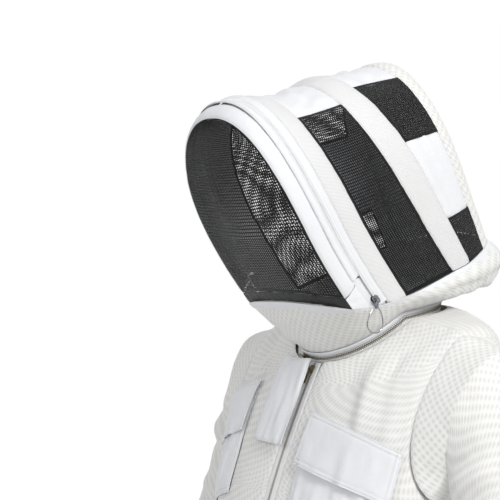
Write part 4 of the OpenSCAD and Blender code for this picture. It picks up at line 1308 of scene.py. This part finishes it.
PIN_Z, LINK_L, RING_HALF, RING_LEN = 5.6, 10.8, 13.0, 36.0
rest = math.radians(-21.0)
arch_p = pitched(135.5, -683.97 + 823.22 * math.cos(rest), 340.74 + 823.22 * math.sin(rest))
ang = np.linspace(0, 2 * np.pi, 96, endpoint=False)
ring_x = RING_HALF * np.sin(ang) * (1 - 0.3 * np.cos(ang))
ring_y = RING_LEN / 2 * (1 - np.cos(ang))
ring_path = arch_p + stack(PIN_Z + 0 * ang, -ring_x, -(LINK_L + ring_y))
ring = tube("arch_ring_wire", ring_path, 0.9, CHROME, "arch_ring", sides=16, closed=True)
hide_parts("arch_zip_ring")
for node, mat in (("front_zip_slider", BRASS), ("front_zip_pull", BRASS), ("collar_zip_slider", BRASS),
                  ("collar_zip_pull", BRASS), ("arch_zip_slider", CHROME), ("arch_zip_link", CHROME),
                  ("hoop_front", STEEL), ("hoop_middle", STEEL), ("hoop_rear", STEEL)):
    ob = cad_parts[node]
    ob.data.materials.clear()
    ob.data.materials.append(mat)

for body_name, lines in STITCH_LINES.items():
    stitches("stitching_" + body_name, lines, body_name, THREAD)

# ---------------------------------------------------------------- stage, light and camera
bpy.ops.mesh.primitive_circle_add(vertices=96, radius=2.6, fill_type="NGON",
                                  location=(0, 0, CAD_BOUNDS[0][2] - 0.004))
floor = bpy.context.object
floor.name = "floor"
m, nt, bsdf = new_material("pale_floor")
bsdf.inputs["Base Color"].default_value = (0.86, 0.86, 0.85, 1)
bsdf.inputs["Roughness"].default_value = 0.9
floor.data.materials.append(m)
floor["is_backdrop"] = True

WORLD_LIGHT = 0.50
world = bpy.data.worlds.new("studio")
bpy.context.scene.world = world
world.use_nodes = True
wnt = world.node_tree
background = wnt.nodes["Background"]
background.inputs["Color"].default_value = (1.0, 1.0, 1.0, 1)
background.inputs["Strength"].default_value = WORLD_LIGHT
bpy.context.scene.view_settings.view_transform = "Standard"


def softbox(name, place, target, size, power, colour):
    light = bpy.data.lights.new(name, "AREA")
    light.shape, light.size, light.energy, light.color = "DISK", size, power, colour
    ob = bpy.data.objects.new(name, light)
    bpy.context.scene.collection.objects.link(ob)
    ob.location = place
    ob.rotation_euler = (Vector(target) - Vector(place)).to_track_quat("-Z", "Y").to_euler()
    return ob


softbox("key", (2.5, -0.5, 1.5), (0.1, -0.05, -0.10), 0.9, 58, (1.0, 0.995, 0.98))
softbox("fill", (0.0, -2.9, 0.9), (0.0, 0.0, -0.10), 1.4, 15, (0.98, 0.99, 1.0))

THETA, TILT, ROLL_X, ROLL_Y = math.radians(53), math.radians(-2), -0.1045, 0.9945
DISTANCE, SENSOR_MM, LENS_MM = 2.6, 36.0, 125.424
# The middle of the picture lies off the origin by these slopes.
AIM_RIGHT, AIM_UP = -0.07238806, 0.02413892
back = Vector((math.sin(THETA) * math.cos(TILT), -math.cos(THETA) * math.cos(TILT), math.sin(TILT)))
right = Vector((math.cos(THETA), math.sin(THETA), 0))
up = back.cross(right)
look = (-back + right * AIM_RIGHT + up * AIM_UP).normalized()
image_up = right * ROLL_X + up * ROLL_Y
image_up = (image_up - look * image_up.dot(look)).normalized()
image_right = look.cross(image_up)
BACKDROP_SIZE, BACKDROP_AWAY = 40.0, 15.0
bpy.ops.mesh.primitive_plane_add(size=BACKDROP_SIZE, location=-back * BACKDROP_AWAY)
backdrop = bpy.context.object
backdrop.name = "backdrop"
backdrop.rotation_euler = back.to_track_quat("Z", "Y").to_euler()
m, nt, bsdf = new_material("white_backdrop")
bsdf.inputs["Base Color"].default_value = (0, 0, 0, 1)
bsdf.inputs["Emission Color"].default_value = (1, 1, 1, 1)
bsdf.inputs["Emission Strength"].default_value = 1.0
bsdf.inputs["Roughness"].default_value = 1.0
backdrop.data.materials.append(m)
backdrop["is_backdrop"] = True
camera_data = bpy.data.cameras.new("camera")
camera_data.sensor_width = SENSOR_MM
camera_data.lens = LENS_MM
camera_data.clip_end = 50.0
camera = bpy.data.objects.new("camera", camera_data)
bpy.context.scene.collection.objects.link(camera)
place = back * DISTANCE
camera.matrix_world = Matrix(((image_right.x, image_up.x, -look.x, place.x),
                              (image_right.y, image_up.y, -look.y, place.y),
                              (image_right.z, image_up.z, -look.z, place.z), (0, 0, 0, 1)))
bpy.context.scene.camera = camera

plain = lambda bounds: [[float(c) for c in corner] for corner in bounds]
{"cad": plain(CAD_BOUNDS), "visual": plain(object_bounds())}
